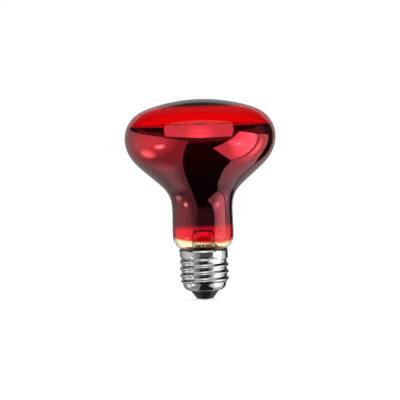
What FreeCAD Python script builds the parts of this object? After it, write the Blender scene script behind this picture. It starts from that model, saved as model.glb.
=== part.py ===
"""Infrared reflector lamp with an Edison screw cap, built piece by piece.

The lamp stands on its cap, with its axis along +Z and its origin at the tip of the centre
contact. A blown red bulb holds a mirror film on the inside of its bowl and neck. A glass stem
closes the neck: it carries two three-piece lead wires, the exhaust tube, and a glass rod whose
button holds the filament's supports. The screw shell is cemented to the neck, and black glass
holds the centre contact in the shell's mouth. All lengths are in millimetres.
"""

import FreeCAD, Part

import math
import os
from collections import namedtuple

import Sketcher
from FreeCAD import Placement, Rotation, Vector

PARTS_FOLDER = "parts"
TINY = 1e-6
BORE_OVERRUN = 1

SIZES = {
    # The bulb's outside
    "lamp_length": 106.3,
    "bulb_diameter": 80.0,
    "crown_height": 20.3,
    "rim_radius": 15.9,
    "belly_radius": 19.0,
    "flank_angle": 47.5,
    "blend_radius": 10.5,
    "neck_diameter": 32.4,
    "shoulder_height": 34.7,
    "shoulder_radius": 10.0,
    "seat_radius": 1.5,
    "seal_diameter": 22.0,
    "seal_height": 19.0,
    "glass_wall": 0.9,
    # The mirror inside the bulb
    "mirror_film": 0.1,
    "mirror_rise": 6.3,
    "mirror_foot": 39.3,
    # The stem that closes the neck
    "stem_diameter": 12.2,
    "stem_wall": 1.0,
    "stem_top": 34.0,
    "press_foot": 38.2,
    "press_top": 44.5,
    "press_width": 8.6,
    "press_thickness": 3.6,
    # The exhaust tube
    "exhaust_diameter": 3.4,
    "exhaust_bore": 1.8,
    "exhaust_tip": 13.0,
    "exhaust_hole_height": 36.6,
    # The lead wires
    "seal_wire_spacing": 6.0,
    "seal_wire_diameter": 0.4,
    "seal_wire_tail": 1.2,
    "lead_embedding": 1.0,
    "inner_lead_diameter": 0.6,
    "inner_lead_bend": 2.0,
    "inner_lead_rise": 4.0,
    "outer_lead_spacing": 8.2,
    "outer_lead_diameter": 0.3,
    "outer_lead_bend": 0.8,
    "outer_lead_drop": 1.0,
    "outer_lead_splay": 3.0,
    "flare_clearance": 1.0,
    "tip_lead_turn": 10.5,
    "tip_lead_foot": 7.0,
    "side_lead_lean": 2.0,
    "side_lead_clearance": 0.4,
    # The filament and what holds it
    "filament_height": 66.0,
    "filament_radius": 9.0,
    "filament_coil": 0.9,
    "filament_sweep": 240.0,
    "rod_diameter": 2.4,
    "button_height": 58.2,
    "button_diameter": 5.4,
    "button_thickness": 2.8,
    "support_count": 3,
    "support_diameter": 0.3,
    "support_root": 0.9,
    "support_elbow": 3.8,
    "support_bend": 1.6,
    "hook_clearance": 0.05,
    "hook_drop": 1.2,
    "hook_inset_angle": 3.0,
    # The screw shell
    "shell_wall": 0.3,
    "shell_rim": 26.5,
    "rim_lean": 0.15,
    "rim_lean_height": 0.9,
    "collar_diameter": 25.7,
    "collar_foot": 23.1,
    "root_diameter": 24.2,
    "step_height": 0.9,
    "bowl_diameter": 23.2,
    "bowl_radius": 4.2,
    "bowl_top": 8.9,
    "mouth_diameter": 13.8,
    "thread_pitch": 3.629,
    "thread_depth": 1.0,
    "crest_radius": 0.8,
    "crest_height": 18.45,
    "thread_turns_up": 0.84,
    "thread_turns_down": 3.0,
    "runout_up": 0.12,
    "runout_down": 0.4,
    # The cement and the solder between shell and neck
    "cement_foot": 20.5,
    "cement_clearance": 0.05,
    "cement_step": 0.4,
    "cement_bead": 0.75,
    "rim_solder_side": 192.0,
    "rim_solder_width": 2.4,
    "rim_solder_height": 2.8,
    "rim_solder_thickness": 1.8,
    "rim_solder_drop": 0.6,
    "rim_solder_clearance": 0.02,
    # The black glass and the centre contact
    "insulator_diameter": 14.6,
    "insulator_lip": 0.25,
    "insulator_slope": 36.9,
    "insulator_corner": 0.8,
    "insulator_foot": 0.45,
    "insulator_edge": 1.0,
    "funnel_diameter": 5.0,
    "funnel_foot": 5.0,
    "contact_diameter": 7.0,
    "contact_thickness": 0.4,
    "contact_corner": 0.2,
    "contact_height": 0.4,
    "eyelet_bore": 2.0,
    "eyelet_wall": 0.3,
    "eyelet_top": 2.2,
    "tip_diameter": 5.2,
    "tip_flat": 3.0,
    "tip_plug": 1.6,
    "tip_lead_end": 0.8,
}

doc = FreeCAD.newDocument("heat_lamp")
sheet = doc.addObject("Spreadsheet::Sheet", "Sizes")
for row, (alias, number) in enumerate(SIZES.items(), start=1):
    sheet.set(f"A{row}", alias)
    sheet.set(f"B{row}", str(number))
    sheet.setAlias(f"B{row}", alias)
doc.recompute()


def on_sheet(expression):
    """An expression with each $ turned into a look at the sheet."""
    return expression.replace("$", "Sizes.")


def value_of(expression):
    """What an expression comes to now."""
    return float(sheet.evalExpression(on_sheet(expression)))


def size(alias):
    """The number that the sheet holds under a name."""
    return float(sheet.get(alias))


def made(kind, name, **bound):
    """A new object, with its sizes tied to expressions on the sheet."""
    thing = doc.addObject(kind, name)
    for path, expression in bound.items():
        thing.setExpression(path, on_sheet(expression))
    return thing


def placed(thing, across="0", back="0", up="0"):
    """Ties where a thing stands to expressions on the sheet."""
    for letter, expression in zip("xyz", (across, back, up)):
        thing.setExpression(f"Placement.Base.{letter}", on_sheet(expression))
    return thing


def turned(thing, angle):
    """Ties a thing's turn about the lamp's axis to an expression in degrees."""
    thing.Placement = Placement(Vector(), Rotation(Vector(0, 0, 1), value_of(angle)))
    thing.setExpression("Placement.Rotation.Angle", f"({on_sheet(angle)}) * 1 deg")
    return thing


def cut(name, base, *tools):
    """A piece with other things taken out of it."""
    for step, tool in enumerate(tools, start=1):
        result = made("Part::Cut", name if step == len(tools) else f"{name}_cut_{step}")
        result.Base = base
        result.Tool = tool
        base = result
    return base


# Sketches made of runs and arcs laid end to end


class Outline:
    """A sketch in one of a body's own planes. Its pieces are known by drawing order."""

    FIRST, LAST, CENTRE = 1, 2, 3
    ORIGIN = (-1, 1)
    LEVEL_AXIS, UPRIGHT_AXIS = -1, -2

    def __init__(self, body, name, plane="XZ_Plane"):
        self.sketch = body.newObject("Sketcher::SketchObject", name)
        face = next(f for f in body.Origin.OriginFeatures if f.Role == plane)
        self.sketch.AttachmentSupport = (face, [""])
        self.sketch.MapMode = "FlatFace"
        self.ends = []
        self.ties = []

    def line(self, start, end):
        run = Part.LineSegment(Vector(*start, 0), Vector(*end, 0))
        number = self.sketch.addGeometry(run, False)
        self.ends.append((self.FIRST, self.LAST))
        return number

    def arc(self, centre, radius, start, end):
        """An arc from one angle to another, in degrees, either way round."""
        circle = Part.Circle(Vector(*centre, 0), Vector(0, 0, 1), radius)
        low, high = (math.radians(angle) for angle in sorted((start, end)))
        number = self.sketch.addGeometry(Part.ArcOfCircle(circle, low, high), False)
        forward = end > start
        self.ends.append((self.FIRST, self.LAST) if forward else (self.LAST, self.FIRST))
        return number

    def head(self, number):
        return number, self.ends[number][0]

    def tail(self, number):
        return number, self.ends[number][1]

    def tie(self, kind, *where):
        self.ties.append((Sketcher.Constraint(kind, *where), None))

    def hold(self, kind, where, expression):
        """A dimension that follows an expression on the sheet. Angles are in degrees."""
        value = value_of(expression)
        unit = ""
        if kind == "Angle":
            value = math.radians(value)
            unit = " * 1 deg"
        constraint = Sketcher.Constraint(kind, *where, value)
        self.ties.append((constraint, f"({on_sheet(expression)}){unit}"))

    def put(self, point, across=None, up=None):
        """Holds a point at expressions across and up from the origin. "0" is the axis."""
        if across == "0":
            self.tie("PointOnObject", *point, self.UPRIGHT_AXIS)
        elif across is not None:
            self.hold("DistanceX", (*self.ORIGIN, *point), across)
        if up is not None:
            self.hold("DistanceY", (*self.ORIGIN, *point), up)

    def join(self, number, following, smooth=False):
        """Ties a piece's tail to the next one's head."""
        kind = "Tangent" if smooth else "Coincident"
        self.tie(kind, *self.tail(number), *self.head(following))

    def bridge(self, here, there):
        """A straight run between two points of pieces already drawn."""
        start, end = (self.sketch.getPoint(*point) for point in (here, there))
        number = self.line((start.x, start.y), (end.x, end.y))
        self.tie("Coincident", *self.head(number), *here)
        self.tie("Coincident", *self.tail(number), *there)
        return number

    def finish(self):
        """Adds all the constraints in one go, and ties the dimensions to the sheet."""
        numbers = self.sketch.addConstraint([constraint for constraint, _ in self.ties])
        for number, (_, expression) in zip(numbers, self.ties):
            if expression is not None:
                name = f"hold_{number}"
                self.sketch.renameConstraint(number, name)
                self.sketch.setExpression(f"Constraints.{name}", expression)
        return self.sketch

    def path(self, corners, start=None, end=None):
        """Straight runs through corners given as expressions across and up.

        The path may start and end at points already drawn, and closes on itself if not."""
        spots = [tuple(value_of(part) for part in corner) for corner in corners]
        runs = [self.line(a, b) for a, b in zip(spots, spots[1:])]
        for number, following in zip(runs, runs[1:]):
            self.join(number, following)
        for number, corner in zip(runs, corners):
            self.put(self.head(number), *corner)
        self.put(self.tail(runs[-1]), *corners[-1])
        if start is None:
            self.bridge(self.tail(runs[-1]), self.head(runs[0]))
        else:
            self.bridge(start, self.head(runs[0]))
            self.bridge(self.tail(runs[-1]), end)
        return runs


def turned_body(name, draw):
    """A body whose sketch is spun once round the lamp's axis."""
    body = made("PartDesign::Body", name)
    outline = Outline(body, f"{name}_profile")
    draw(outline)
    sketch = outline.finish()
    spin = body.newObject("PartDesign::Revolution", f"{name}_spin")
    spin.Profile = (sketch, [""])
    spin.ReferenceAxis = (sketch, ["V_Axis"])
    spin.Angle = 360.0
    body.Tip = spin
    return body


def bent_wire(points, bends):
    """Straight runs through the points, with an arc of the given radius at each inner one."""
    edges = []
    start = points[0]
    for before, corner, after, radius in zip(points, points[1:], points[2:], bends):
        back = (before - corner).normalize()
        onward = (after - corner).normalize()
        half = back.getAngle(onward) / 2
        arc_start = corner + back * (radius / math.tan(half))
        arc_end = corner + onward * (radius / math.tan(half))
        inward = (back + onward).normalize()
        arc_middle = corner + inward * (radius / math.sin(half) - radius)
        if (arc_start - start).Length > TINY:
            edges.append(Part.LineSegment(start, arc_start).toShape())
        edges.append(Part.Arc(arc_start, arc_middle, arc_end).toShape())
        start = arc_end
    edges.append(Part.LineSegment(start, points[-1]).toShape())
    return Part.Wire(edges)


def round_wire(name, diameter, points, bends):
    """A wire of round section along a bent path that sets off straight up or down."""
    spine = doc.addObject("Part::Feature", f"{name}_spine")
    spine.Shape = bent_wire(points, bends)
    section = made("Part::Circle", f"{name}_section", Radius=f"${diameter} / 2")
    section.Placement = Placement(points[0], Rotation())
    sweep = doc.addObject("Part::Sweep", name)
    sweep.Sections = [section]
    sweep.Spine = (spine, [])
    sweep.Solid = True
    sweep.Frenet = False
    return sweep


def around(radius, angle, height):
    """A point at a radius, an angle in degrees and a height."""
    turn = math.radians(angle)
    return Vector(radius * math.cos(turn), radius * math.sin(turn), height)


# The bulb's outline, from the crown on the axis down to the seal

Arc = namedtuple("Arc", "centre radius hollow start end")
BULB_LINE = ["crown", "rim", "belly", "flank", "blend", "neck", "shoulder", "seat", "seal"]
UPRIGHT_RUNS = {"neck": "$neck_diameter / 2", "seal": "$seal_diameter / 2"}
WIDEST = "($lamp_length - $crown_height)"
LEVEL_TAILS = ["rim", "blend", "seat"]
LEVEL_HEAD = "shoulder"


def bulb_arcs():
    """The arcs of the bulb's outer surface. A hollow one has its centre outside the glass."""
    widest = value_of(WIDEST)
    flank = size("flank_angle")
    rim, belly, blend = size("rim_radius"), size("belly_radius"), size("blend_radius")
    shoulder, seat = size("shoulder_radius"), size("seat_radius")
    bulb, neck = size("bulb_diameter") / 2, size("neck_diameter") / 2
    seal = size("seal_diameter") / 2

    rim_across = bulb - rim
    level = size("lamp_length") - rim
    crown_up = (level**2 - widest**2 - rim_across**2) / (2 * (level - widest))
    crown_end = math.degrees(math.atan2(widest - crown_up, rim_across))

    cosine, sine = math.cos(math.radians(flank)), math.sin(math.radians(flank))
    blend_across = neck + blend
    blend_up = widest + ((blend_across - bulb + belly) * cosine - belly - blend) / sine

    shoulder_across, seat_across = neck - shoulder, seal + seat
    lean = math.acos((seat_across - shoulder_across) / (shoulder + seat))
    shoulder_up = size("shoulder_height")
    seat_up = shoulder_up - (shoulder + seat) * math.sin(lean)
    tuck = math.degrees(lean)
    return {
        "crown": Arc((0, crown_up), size("lamp_length") - crown_up, False, 90, crown_end),
        "rim": Arc((rim_across, widest), rim, False, crown_end, 0),
        "belly": Arc((bulb - belly, widest), belly, False, 0, -flank),
        "blend": Arc((blend_across, blend_up), blend, True, 180 - flank, 180),
        "shoulder": Arc((shoulder_across, shoulder_up), shoulder, False, 0, -tuck),
        "seat": Arc((seat_across, seat_up), seat, True, 180 - tuck, 180),
    }


def bulb_line(outline, inset, first, last, start_up=None, end_up=None):
    """Draws part of the bulb's line a depth inside its outer surface, and returns its ends.

    The inset and the heights of cut ends are expressions. Where an arc meets an upright run
    or the widest level, the joint lies level with the arc's centre."""
    depth = value_of(inset)
    arcs = bulb_arcs()
    names = BULB_LINE[BULB_LINE.index(first) : BULB_LINE.index(last) + 1]
    spot = None
    drawn = []
    for name in names:
        if name in arcs:
            arc = arcs[name]
            radius = arc.radius + depth if arc.hollow else arc.radius - depth
            start = arc.start
            if name == first and start_up is not None:
                rise = value_of(start_up) - arc.centre[1]
                start = math.degrees(math.asin(rise / radius))
            drawn.append(outline.arc(arc.centre, radius, start, arc.end))
            spot = outline.sketch.getPoint(*outline.tail(drawn[-1]))
        else:
            drawn.append(outline.line((spot.x, spot.y), run_end(name, arcs, depth, end_up)))
    for name, number, after, following in zip(names, drawn, names[1:], drawn[1:]):
        level = name in LEVEL_TAILS or after == LEVEL_HEAD
        outline.join(number, following, smooth=not level)
        if name in LEVEL_TAILS:
            outline.tie("Horizontal", number, outline.CENTRE, *outline.tail(number))
        if after == LEVEL_HEAD:
            outline.tie("Horizontal", following, outline.CENTRE, *outline.head(following))
    for name, number in zip(names, drawn):
        hold_bulb_piece(outline, name, number, inset, name == first)
    if start_up is not None:
        outline.put(outline.head(drawn[0]), up=start_up)
    if end_up is not None:
        outline.put(outline.tail(drawn[-1]), up=end_up)
    return outline.head(drawn[0]), outline.tail(drawn[-1])


def run_end(name, arcs, depth, end_up):
    """Where a straight run of the bulb's line ends."""
    if name == "flank":
        blend = arcs["blend"]
        turn = math.radians(blend.start)
        radius = blend.radius + depth
        across, up = blend.centre
        return across + radius * math.cos(turn), up + radius * math.sin(turn)
    across = value_of(UPRIGHT_RUNS[name]) - depth
    return across, value_of(end_up) if end_up else arcs["shoulder"].centre[1]


def hold_bulb_piece(outline, name, number, inset, leads):
    """The dimensions of one piece of the bulb's line. The first arc needs its place too."""
    centre = (number, outline.CENTRE)
    if name == "crown":
        outline.put(centre, "0")
        outline.put(outline.head(number), "0", f"$lamp_length - ({inset})")
    elif name == "flank":
        outline.hold("Angle", (number,), "-90 - $flank_angle")
    elif name in UPRIGHT_RUNS:
        outline.tie("Vertical", number)
        outline.put(outline.head(number), f"{UPRIGHT_RUNS[name]} - ({inset})")
    else:
        sign = "+" if name in ("blend", "seat") else "-"
        outline.hold("Radius", (number,), f"${name}_radius {sign} ({inset})")
    if name == "rim":
        outline.put(centre, "$bulb_diameter / 2 - $rim_radius", WIDEST)
    if name == "belly":
        outline.put(centre, up=WIDEST)
    if name == "shoulder":
        across = "$neck_diameter / 2 - $shoulder_radius" if leads else None
        outline.put(centre, across, "$shoulder_height")


def bulb_skin(outline, outer, inner, *reach):
    """A closed line between two depths inside the bulb's outer surface."""
    outer_start, outer_end = bulb_line(outline, outer, *reach)
    inner_start, inner_end = bulb_line(outline, inner, *reach)
    outline.bridge(outer_end, inner_end)
    outline.bridge(inner_start, outer_start)


# Glass


def glass_bulb():
    """The blown bulb: one wall from the crown to the seal at the end of the neck."""
    return turned_body(
        "glass_bulb",
        lambda outline: bulb_skin(
            outline, "0", "$glass_wall", "crown", "seal", None, "$seal_height"
        ),
    )


def reflector_coating():
    """The mirror that covers the inside of the bowl and the upper neck."""
    return turned_body(
        "reflector_coating",
        lambda outline: bulb_skin(
            outline,
            "$glass_wall",
            "$glass_wall + $mirror_film",
            "rim",
            "neck",
            f"{WIDEST} + $mirror_rise",
            "$mirror_foot",
        ),
    )


def stem_profile(outline):
    """The stem's wall: a flare sealed under the neck, a tube, and its closed top."""
    seal_inside = "$seal_diameter / 2 - $glass_wall"
    outer_bend = f"({seal_inside} - $stem_diameter / 2)"
    across = value_of(seal_inside)
    bend_up = value_of(f"$seal_height + {outer_bend}")
    radius = value_of(outer_bend)
    upper = outline.arc((across, bend_up), radius, 270, 180)
    lower = outline.arc((across, bend_up), radius + size("stem_wall"), 180, 270)
    outline.tie("Coincident", upper, outline.CENTRE, lower, outline.CENTRE)
    outline.put((upper, outline.CENTRE), seal_inside, f"$seal_height + {outer_bend}")
    outline.hold("Radius", (upper,), outer_bend)
    outline.hold("Radius", (lower,), f"{outer_bend} + $stem_wall")
    for arc in (upper, lower):
        outline.put((arc, outline.ends[upper][0]), across=seal_inside)
    for arc, end in ((upper, outline.tail(upper)), (lower, outline.head(lower))):
        outline.put(end, up=f"$seal_height + {outer_bend}")
    bore = "$stem_diameter / 2 - $stem_wall"
    outline.path(
        [
            ("$stem_diameter / 2", "$stem_top"),
            ("0", "$stem_top"),
            ("0", "$stem_top - $stem_wall"),
            (bore, "$stem_top - $stem_wall"),
        ],
        start=outline.tail(upper),
        end=outline.head(lower),
    )
    outline.path(
        [
            ("$seal_diameter / 2", "$seal_height - $stem_wall"),
            ("$seal_diameter / 2", "$seal_height"),
        ],
        start=outline.tail(lower),
        end=outline.head(upper),
    )


def press_root(body):
    """The circle on top of the stem, in four arcs that lead to the press's four sides."""
    outline = Outline(body, "press_root", "XY_Plane")
    outline.sketch.setExpression("AttachmentOffset.Base.z", on_sheet("$stem_top"))
    radius = size("stem_diameter") / 2
    turn = math.degrees(math.asin(size("press_thickness") / 2 / radius))
    stops = [-turn, turn, 180 - turn, 180 + turn, 360 - turn]
    right, back, left, front = (
        outline.arc((0, 0), radius, start, end) for start, end in zip(stops, stops[1:])
    )
    for arc in (right, back, left, front):
        outline.tie("Coincident", arc, outline.CENTRE, *outline.ORIGIN)
    outline.hold("Radius", (right,), "$stem_diameter / 2")
    outline.join(right, back)
    outline.join(back, left)
    outline.join(left, front)
    outline.put(outline.head(right), up="-$press_thickness / 2")
    outline.put(outline.tail(right), up="$press_thickness / 2")
    outline.put(outline.head(left), up="$press_thickness / 2")
    outline.put(outline.tail(left), up="-$press_thickness / 2")
    outline.put(outline.tail(front), up="-$press_thickness / 2")
    return outline.finish()


def press_foot(body):
    """The press's own section, a slot with round ends."""
    outline = Outline(body, "press_foot", "XY_Plane")
    outline.sketch.setExpression("AttachmentOffset.Base.z", on_sheet("$press_foot"))
    side = size("press_thickness") / 2
    reach = size("press_width") / 2 - side
    right = outline.arc((reach, 0), side, -90, 90)
    back = outline.line((reach, side), (-reach, side))
    left = outline.arc((-reach, 0), side, 90, 270)
    front = outline.line((-reach, -side), (reach, -side))
    ring = [right, back, left, front]
    for number, following in zip(ring, ring[1:] + ring[:1]):
        outline.join(number, following, smooth=True)
    outline.tie("Horizontal", back)
    outline.tie("Horizontal", front)
    outline.tie("PointOnObject", right, outline.CENTRE, outline.LEVEL_AXIS)
    outline.put((right, outline.CENTRE), "$press_width / 2 - $press_thickness / 2")
    outline.put((left, outline.CENTRE), "$press_thickness / 2 - $press_width / 2")
    outline.hold("Radius", (right,), "$press_thickness / 2")
    return outline.finish()


def stem_body():
    """The flare and tube, drawn in to a flat press that seals the wires."""
    body = turned_body("stem_blank", stem_profile)
    root, foot = press_root(body), press_foot(body)
    taper = body.newObject("PartDesign::AdditiveLoft", "press_taper")
    taper.Profile = (root, [""])
    taper.Sections = [(foot, [""])]
    blade = body.newObject("PartDesign::Pad", "press_blade")
    blade.Profile = (foot, [""])
    blade.setExpression("Length", on_sheet("$press_top - $press_foot"))
    body.Tip = blade
    return body


def upright_bore(name, diameter, foot, top, across="0"):
    """A round bar along Z between two heights."""
    bar = made(
        "Part::Cylinder", name, Radius=f"${diameter} / 2", Height=f"({top}) - ({foot})"
    )
    return placed(bar, across=across, up=foot)


SEAL_WIRE_FOOT = "$stem_top - $stem_wall - $seal_wire_tail"
SEAL_WIRE_TOP = "$press_top - $lead_embedding"
SIDES = {"left": "-1", "right": "1"}


def glass_stem():
    """The stem with the holes that its wires fill and the passage of the exhaust tube."""
    ceiling = "$stem_top - $stem_wall"
    foot, top = f"{ceiling} - {BORE_OVERRUN}", f"$press_top + {BORE_OVERRUN}"
    holes = [upright_bore("passage", "exhaust_bore", foot, "$exhaust_hole_height")]
    for side, sign in SIDES.items():
        across = f"{sign} * $seal_wire_spacing / 2"
        seal = upright_bore(
            f"seal_hole_{side}", "seal_wire_diameter", SEAL_WIRE_FOOT, SEAL_WIRE_TOP, across
        )
        lead = upright_bore(
            f"lead_hole_{side}", "inner_lead_diameter", SEAL_WIRE_TOP, top, across
        )
        holes += [seal, lead]
    vent = made(
        "Part::Cylinder", "vent", Radius="$exhaust_bore / 2", Height="$stem_diameter"
    )
    vent.Placement = Placement(Vector(), Rotation(Vector(1, 0, 0), -90))
    placed(vent, up="$exhaust_hole_height")
    return cut("glass_stem", stem_body(), *holes, vent)


def exhaust_profile(outline):
    """A tube melted shut at its lower end, with its mouth on the stem's ceiling."""
    round_up = "$exhaust_tip + $exhaust_diameter / 2"
    mouth_up = "$stem_top - $stem_wall"
    arcs = []
    for diameter, turn in (("$exhaust_diameter", (270, 360)), ("$exhaust_bore", (360, 270))):
        arc = outline.arc((0, value_of(round_up)), value_of(diameter) / 2, *turn)
        outline.put((arc, outline.CENTRE), "0", round_up)
        outline.hold("Radius", (arc,), f"{diameter} / 2")
        arcs.append(arc)
    outer, inner = arcs
    for arc in arcs:
        outline.tie("PointOnObject", arc, outline.FIRST, outline.UPRIGHT_AXIS)
        outline.put((arc, outline.LAST), up=round_up)
    outline.path(
        [("$exhaust_diameter / 2", mouth_up), ("$exhaust_bore / 2", mouth_up)],
        start=outline.tail(outer),
        end=outline.head(inner),
    )
    outline.bridge(outline.tail(inner), outline.head(outer))


def exhaust_tube():
    return turned_body("exhaust_tube", exhaust_profile)


def rod_profile(outline):
    """A rod that stands on the press, and the round-edged button melted on its end."""
    edge = "$button_diameter / 2 - $button_thickness / 2"
    rim = outline.arc(
        (value_of(edge), size("button_height")), size("button_thickness") / 2, -90, 90
    )
    outline.put((rim, outline.CENTRE), edge, "$button_height")
    outline.hold("Radius", (rim,), "$button_thickness / 2")
    for end in (outline.head(rim), outline.tail(rim)):
        outline.put(end, across=edge)
    outline.path(
        [
            ("0", "$button_height + $button_thickness / 2"),
            ("0", "$press_top"),
            ("$rod_diameter / 2", "$press_top"),
            ("$rod_diameter / 2", "$button_height - $button_thickness / 2"),
        ],
        start=outline.tail(rim),
        end=outline.head(rim),
    )


COIL_START = "90 + (360 - $filament_sweep) / 2"


def support_angle(number):
    """Where a support stands: they share the filament's sweep in equal steps."""
    return f"{COIL_START} + $filament_sweep * {number} / ($support_count + 1)"


def support_rod():
    """The glass rod and button, with a hole for the foot of each support."""
    holes = []
    for number in range(1, int(size("support_count")) + 1):
        hole = made(
            "Part::Cylinder",
            f"support_hole_{number}",
            Radius="$support_diameter / 2",
            Height="$button_diameter",
        )
        start = around(size("support_root"), value_of(support_angle(number)), 0)
        start.z = size("button_height")
        hole.Placement = Placement(start, Rotation(Vector(0, 0, 1), start - Vector(0, 0, start.z)))
        holes.append(hole)
    return cut("support_rod", turned_body("rod_blank", rod_profile), *holes)


# Wires and filament

HOOK_RADIUS = "$filament_coil / 2 + $hook_clearance"


def support_path(body, name):
    """The wire's line: level out of the button, up a slope, and over the coil in a hook."""
    path = Outline(body, f"{name}_path")
    hook = f"({HOOK_RADIUS} + $support_diameter / 2)"
    radius, bend = value_of(hook), size("support_bend")
    level, elbow = size("button_height"), size("support_elbow")
    coil_across, coil_up = size("filament_radius"), size("filament_height")
    drop = coil_up - size("hook_drop")

    rise, reach = coil_up - level - bend, coil_across - elbow
    lean = math.atan2(rise, reach) + math.asin((bend - radius) / math.hypot(rise, reach))
    turn = math.degrees(lean) - 90
    run = path.line((size("support_root"), level), (elbow, level))
    corner = path.arc((elbow, level + bend), bend, -90, turn)
    crook_start = (
        coil_across + radius * math.sin(lean),
        coil_up - radius * math.cos(lean),
    )
    corner_end = (elbow + bend * math.sin(lean), level + bend - bend * math.cos(lean))
    slope = path.line(corner_end, crook_start)
    crook = path.arc((coil_across, coil_up), radius, turn, 180)
    fall = path.line((coil_across - radius, coil_up), (coil_across - radius, drop))
    pieces = [run, corner, slope, crook, fall]
    for number, following in zip(pieces, pieces[1:]):
        path.join(number, following, smooth=True)

    path.put(path.head(run), "$support_root", "$button_height")
    path.tie("Horizontal", run)
    path.hold("Radius", (corner,), "$support_bend")
    path.put((corner, path.CENTRE), across="$support_elbow")
    path.put((crook, path.CENTRE), "$filament_radius", "$filament_height")
    path.hold("Radius", (crook,), hook)
    path.tie("Vertical", fall)
    path.put(path.tail(fall), up="$filament_height - $hook_drop")
    return path.finish()


def support_section(body, name):
    """The wire's round section, square to the start of its line."""
    section = Outline(body, f"{name}_section", "YZ_Plane")
    section.sketch.setExpression("AttachmentOffset.Base.z", on_sheet("$support_root"))
    centre = Vector(0, size("button_height"), 0)
    circle = Part.Circle(centre, Vector(0, 0, 1), size("support_diameter") / 2)
    ring = section.sketch.addGeometry(circle, False)
    section.put((ring, section.CENTRE), "0", "$button_height")
    section.hold("Radius", (ring,), "$support_diameter / 2")
    return section.finish()


def filament_support(number):
    """A wire from the button out and up to the coil, hooked over it from outside."""
    name = f"filament_support_{number}"
    body = made("PartDesign::Body", name)
    path, section = support_path(body, name), support_section(body, name)
    pipe = body.newObject("PartDesign::AdditivePipe", f"{name}_pipe")
    pipe.Profile = (section, [""])
    pipe.Spine = (path, [])
    body.Tip = pipe
    return turned(body, support_angle(number))


def filament():
    """The coil as its outer shape: a round bar bent round the lamp's axis."""
    coil = made(
        "Part::Torus",
        "filament",
        Radius1="$filament_radius",
        Radius2="$filament_coil / 2",
        Angle3="$filament_sweep",
    )
    turned(coil, COIL_START)
    return placed(coil, up="$filament_height")


def inner_lead(side):
    """A stiff wire from the press to one end of the coil, hooked over it from outside."""
    sign = float(SIDES[side])
    foot = Vector(sign * size("seal_wire_spacing") / 2, 0, value_of(SEAL_WIRE_TOP))
    rise = Vector(foot.x, 0, size("press_top") + size("inner_lead_rise"))
    gap = (360 - size("filament_sweep")) / 2
    angle = 90 - sign * (gap + size("hook_inset_angle"))
    hook = value_of(f"{HOOK_RADIUS} + $inner_lead_diameter / 2")
    coil_up = size("filament_height")
    low = coil_up - size("hook_drop")
    outside, inside = size("filament_radius") + hook, size("filament_radius") - hook
    points = [
        foot,
        rise,
        around(outside, angle, low - hook),
        around(outside, angle, coil_up + hook),
        around(inside, angle, coil_up + hook),
        around(inside, angle, low),
    ]
    bend = size("inner_lead_bend")
    return round_wire(
        f"inner_lead_{side}", "inner_lead_diameter", points, [bend, bend, hook, hook]
    )


def seal_wire(side):
    """The straight wire that passes through the press and seals to its glass."""
    return upright_bore(
        f"seal_wire_{side}",
        "seal_wire_diameter",
        SEAL_WIRE_FOOT,
        SEAL_WIRE_TOP,
        f"{SIDES[side]} * $seal_wire_spacing / 2",
    )


def outer_lead_start(side):
    """The first points of an outer lead: under its seal wire, then out towards the tube."""
    sign = float(SIDES[side])
    top = value_of(SEAL_WIRE_FOOT)
    start = Vector(sign * size("seal_wire_spacing") / 2, 0, top)
    below = start - Vector(0, 0, size("outer_lead_drop"))
    out = sign * size("outer_lead_spacing") / 2
    return [start, below, Vector(out, 0, top - size("outer_lead_splay"))]


def contact_lead():
    """The outer lead that runs down the axis to the solder of the centre contact."""
    start = outer_lead_start("right")
    points = start + [
        Vector(start[-1].x, 0, size("tip_lead_turn")),
        Vector(0, 0, size("tip_lead_foot")),
        Vector(0, 0, size("tip_lead_end")),
    ]
    bends = [size("outer_lead_bend")] * (len(points) - 2)
    return round_wire("contact_lead", "outer_lead_diameter", points, bends)


def shell_lead():
    """The outer lead that turns under the flare and up beside the neck to the shell's rim."""
    start = outer_lead_start("left")
    side = size("rim_solder_side")
    low = size("seal_height") - size("stem_wall") - size("flare_clearance")
    beside = value_of("($seal_diameter + $root_diameter) / 4 - $shell_wall / 2")
    rim = size("shell_rim") - size("side_lead_clearance")
    edge = value_of("$collar_diameter / 2 - $shell_wall - $side_lead_clearance")
    points = start + [
        Vector(start[-1].x, 0, low),
        around(beside, side, low),
        around(beside, side, rim - size("side_lead_lean")),
        around(edge, side, rim),
    ]
    bends = [size("outer_lead_bend")] * (len(points) - 2)
    return round_wire("shell_lead", "outer_lead_diameter", points, bends)


# The screw shell, rolled from sheet

SHELL_COLUMNS = 72
ROWS_PER_MILLIMETRE = 3.4
MOUTH_ROWS = 3


def eased(fraction):
    """A smooth step from 0 to 1."""
    held = min(max(fraction, 0.0), 1.0)
    return held * held * (3 - 2 * held)


def thread_height(turn, height):
    """How far the thread stands out at a part of a turn and a height."""
    pitch, depth, crest = size("thread_pitch"), size("thread_depth"), size("crest_radius")
    flank = 2 * math.atan2(2 * depth, pitch)
    hollow = pitch / 2 / math.sin(flank) - crest
    along = (height - size("crest_height")) / pitch - turn
    place = turn + round(along)
    off = abs(along - round(along)) * pitch
    if off < crest * math.sin(flank):
        bump = depth - crest + math.sqrt(crest**2 - off**2)
    else:
        bump = hollow - math.sqrt(hollow**2 - (pitch / 2 - off) ** 2)
    start = (place + size("thread_turns_down")) / size("runout_down")
    end = (size("thread_turns_up") - place) / size("runout_up")
    return bump * eased(start) * eased(end)


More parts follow.
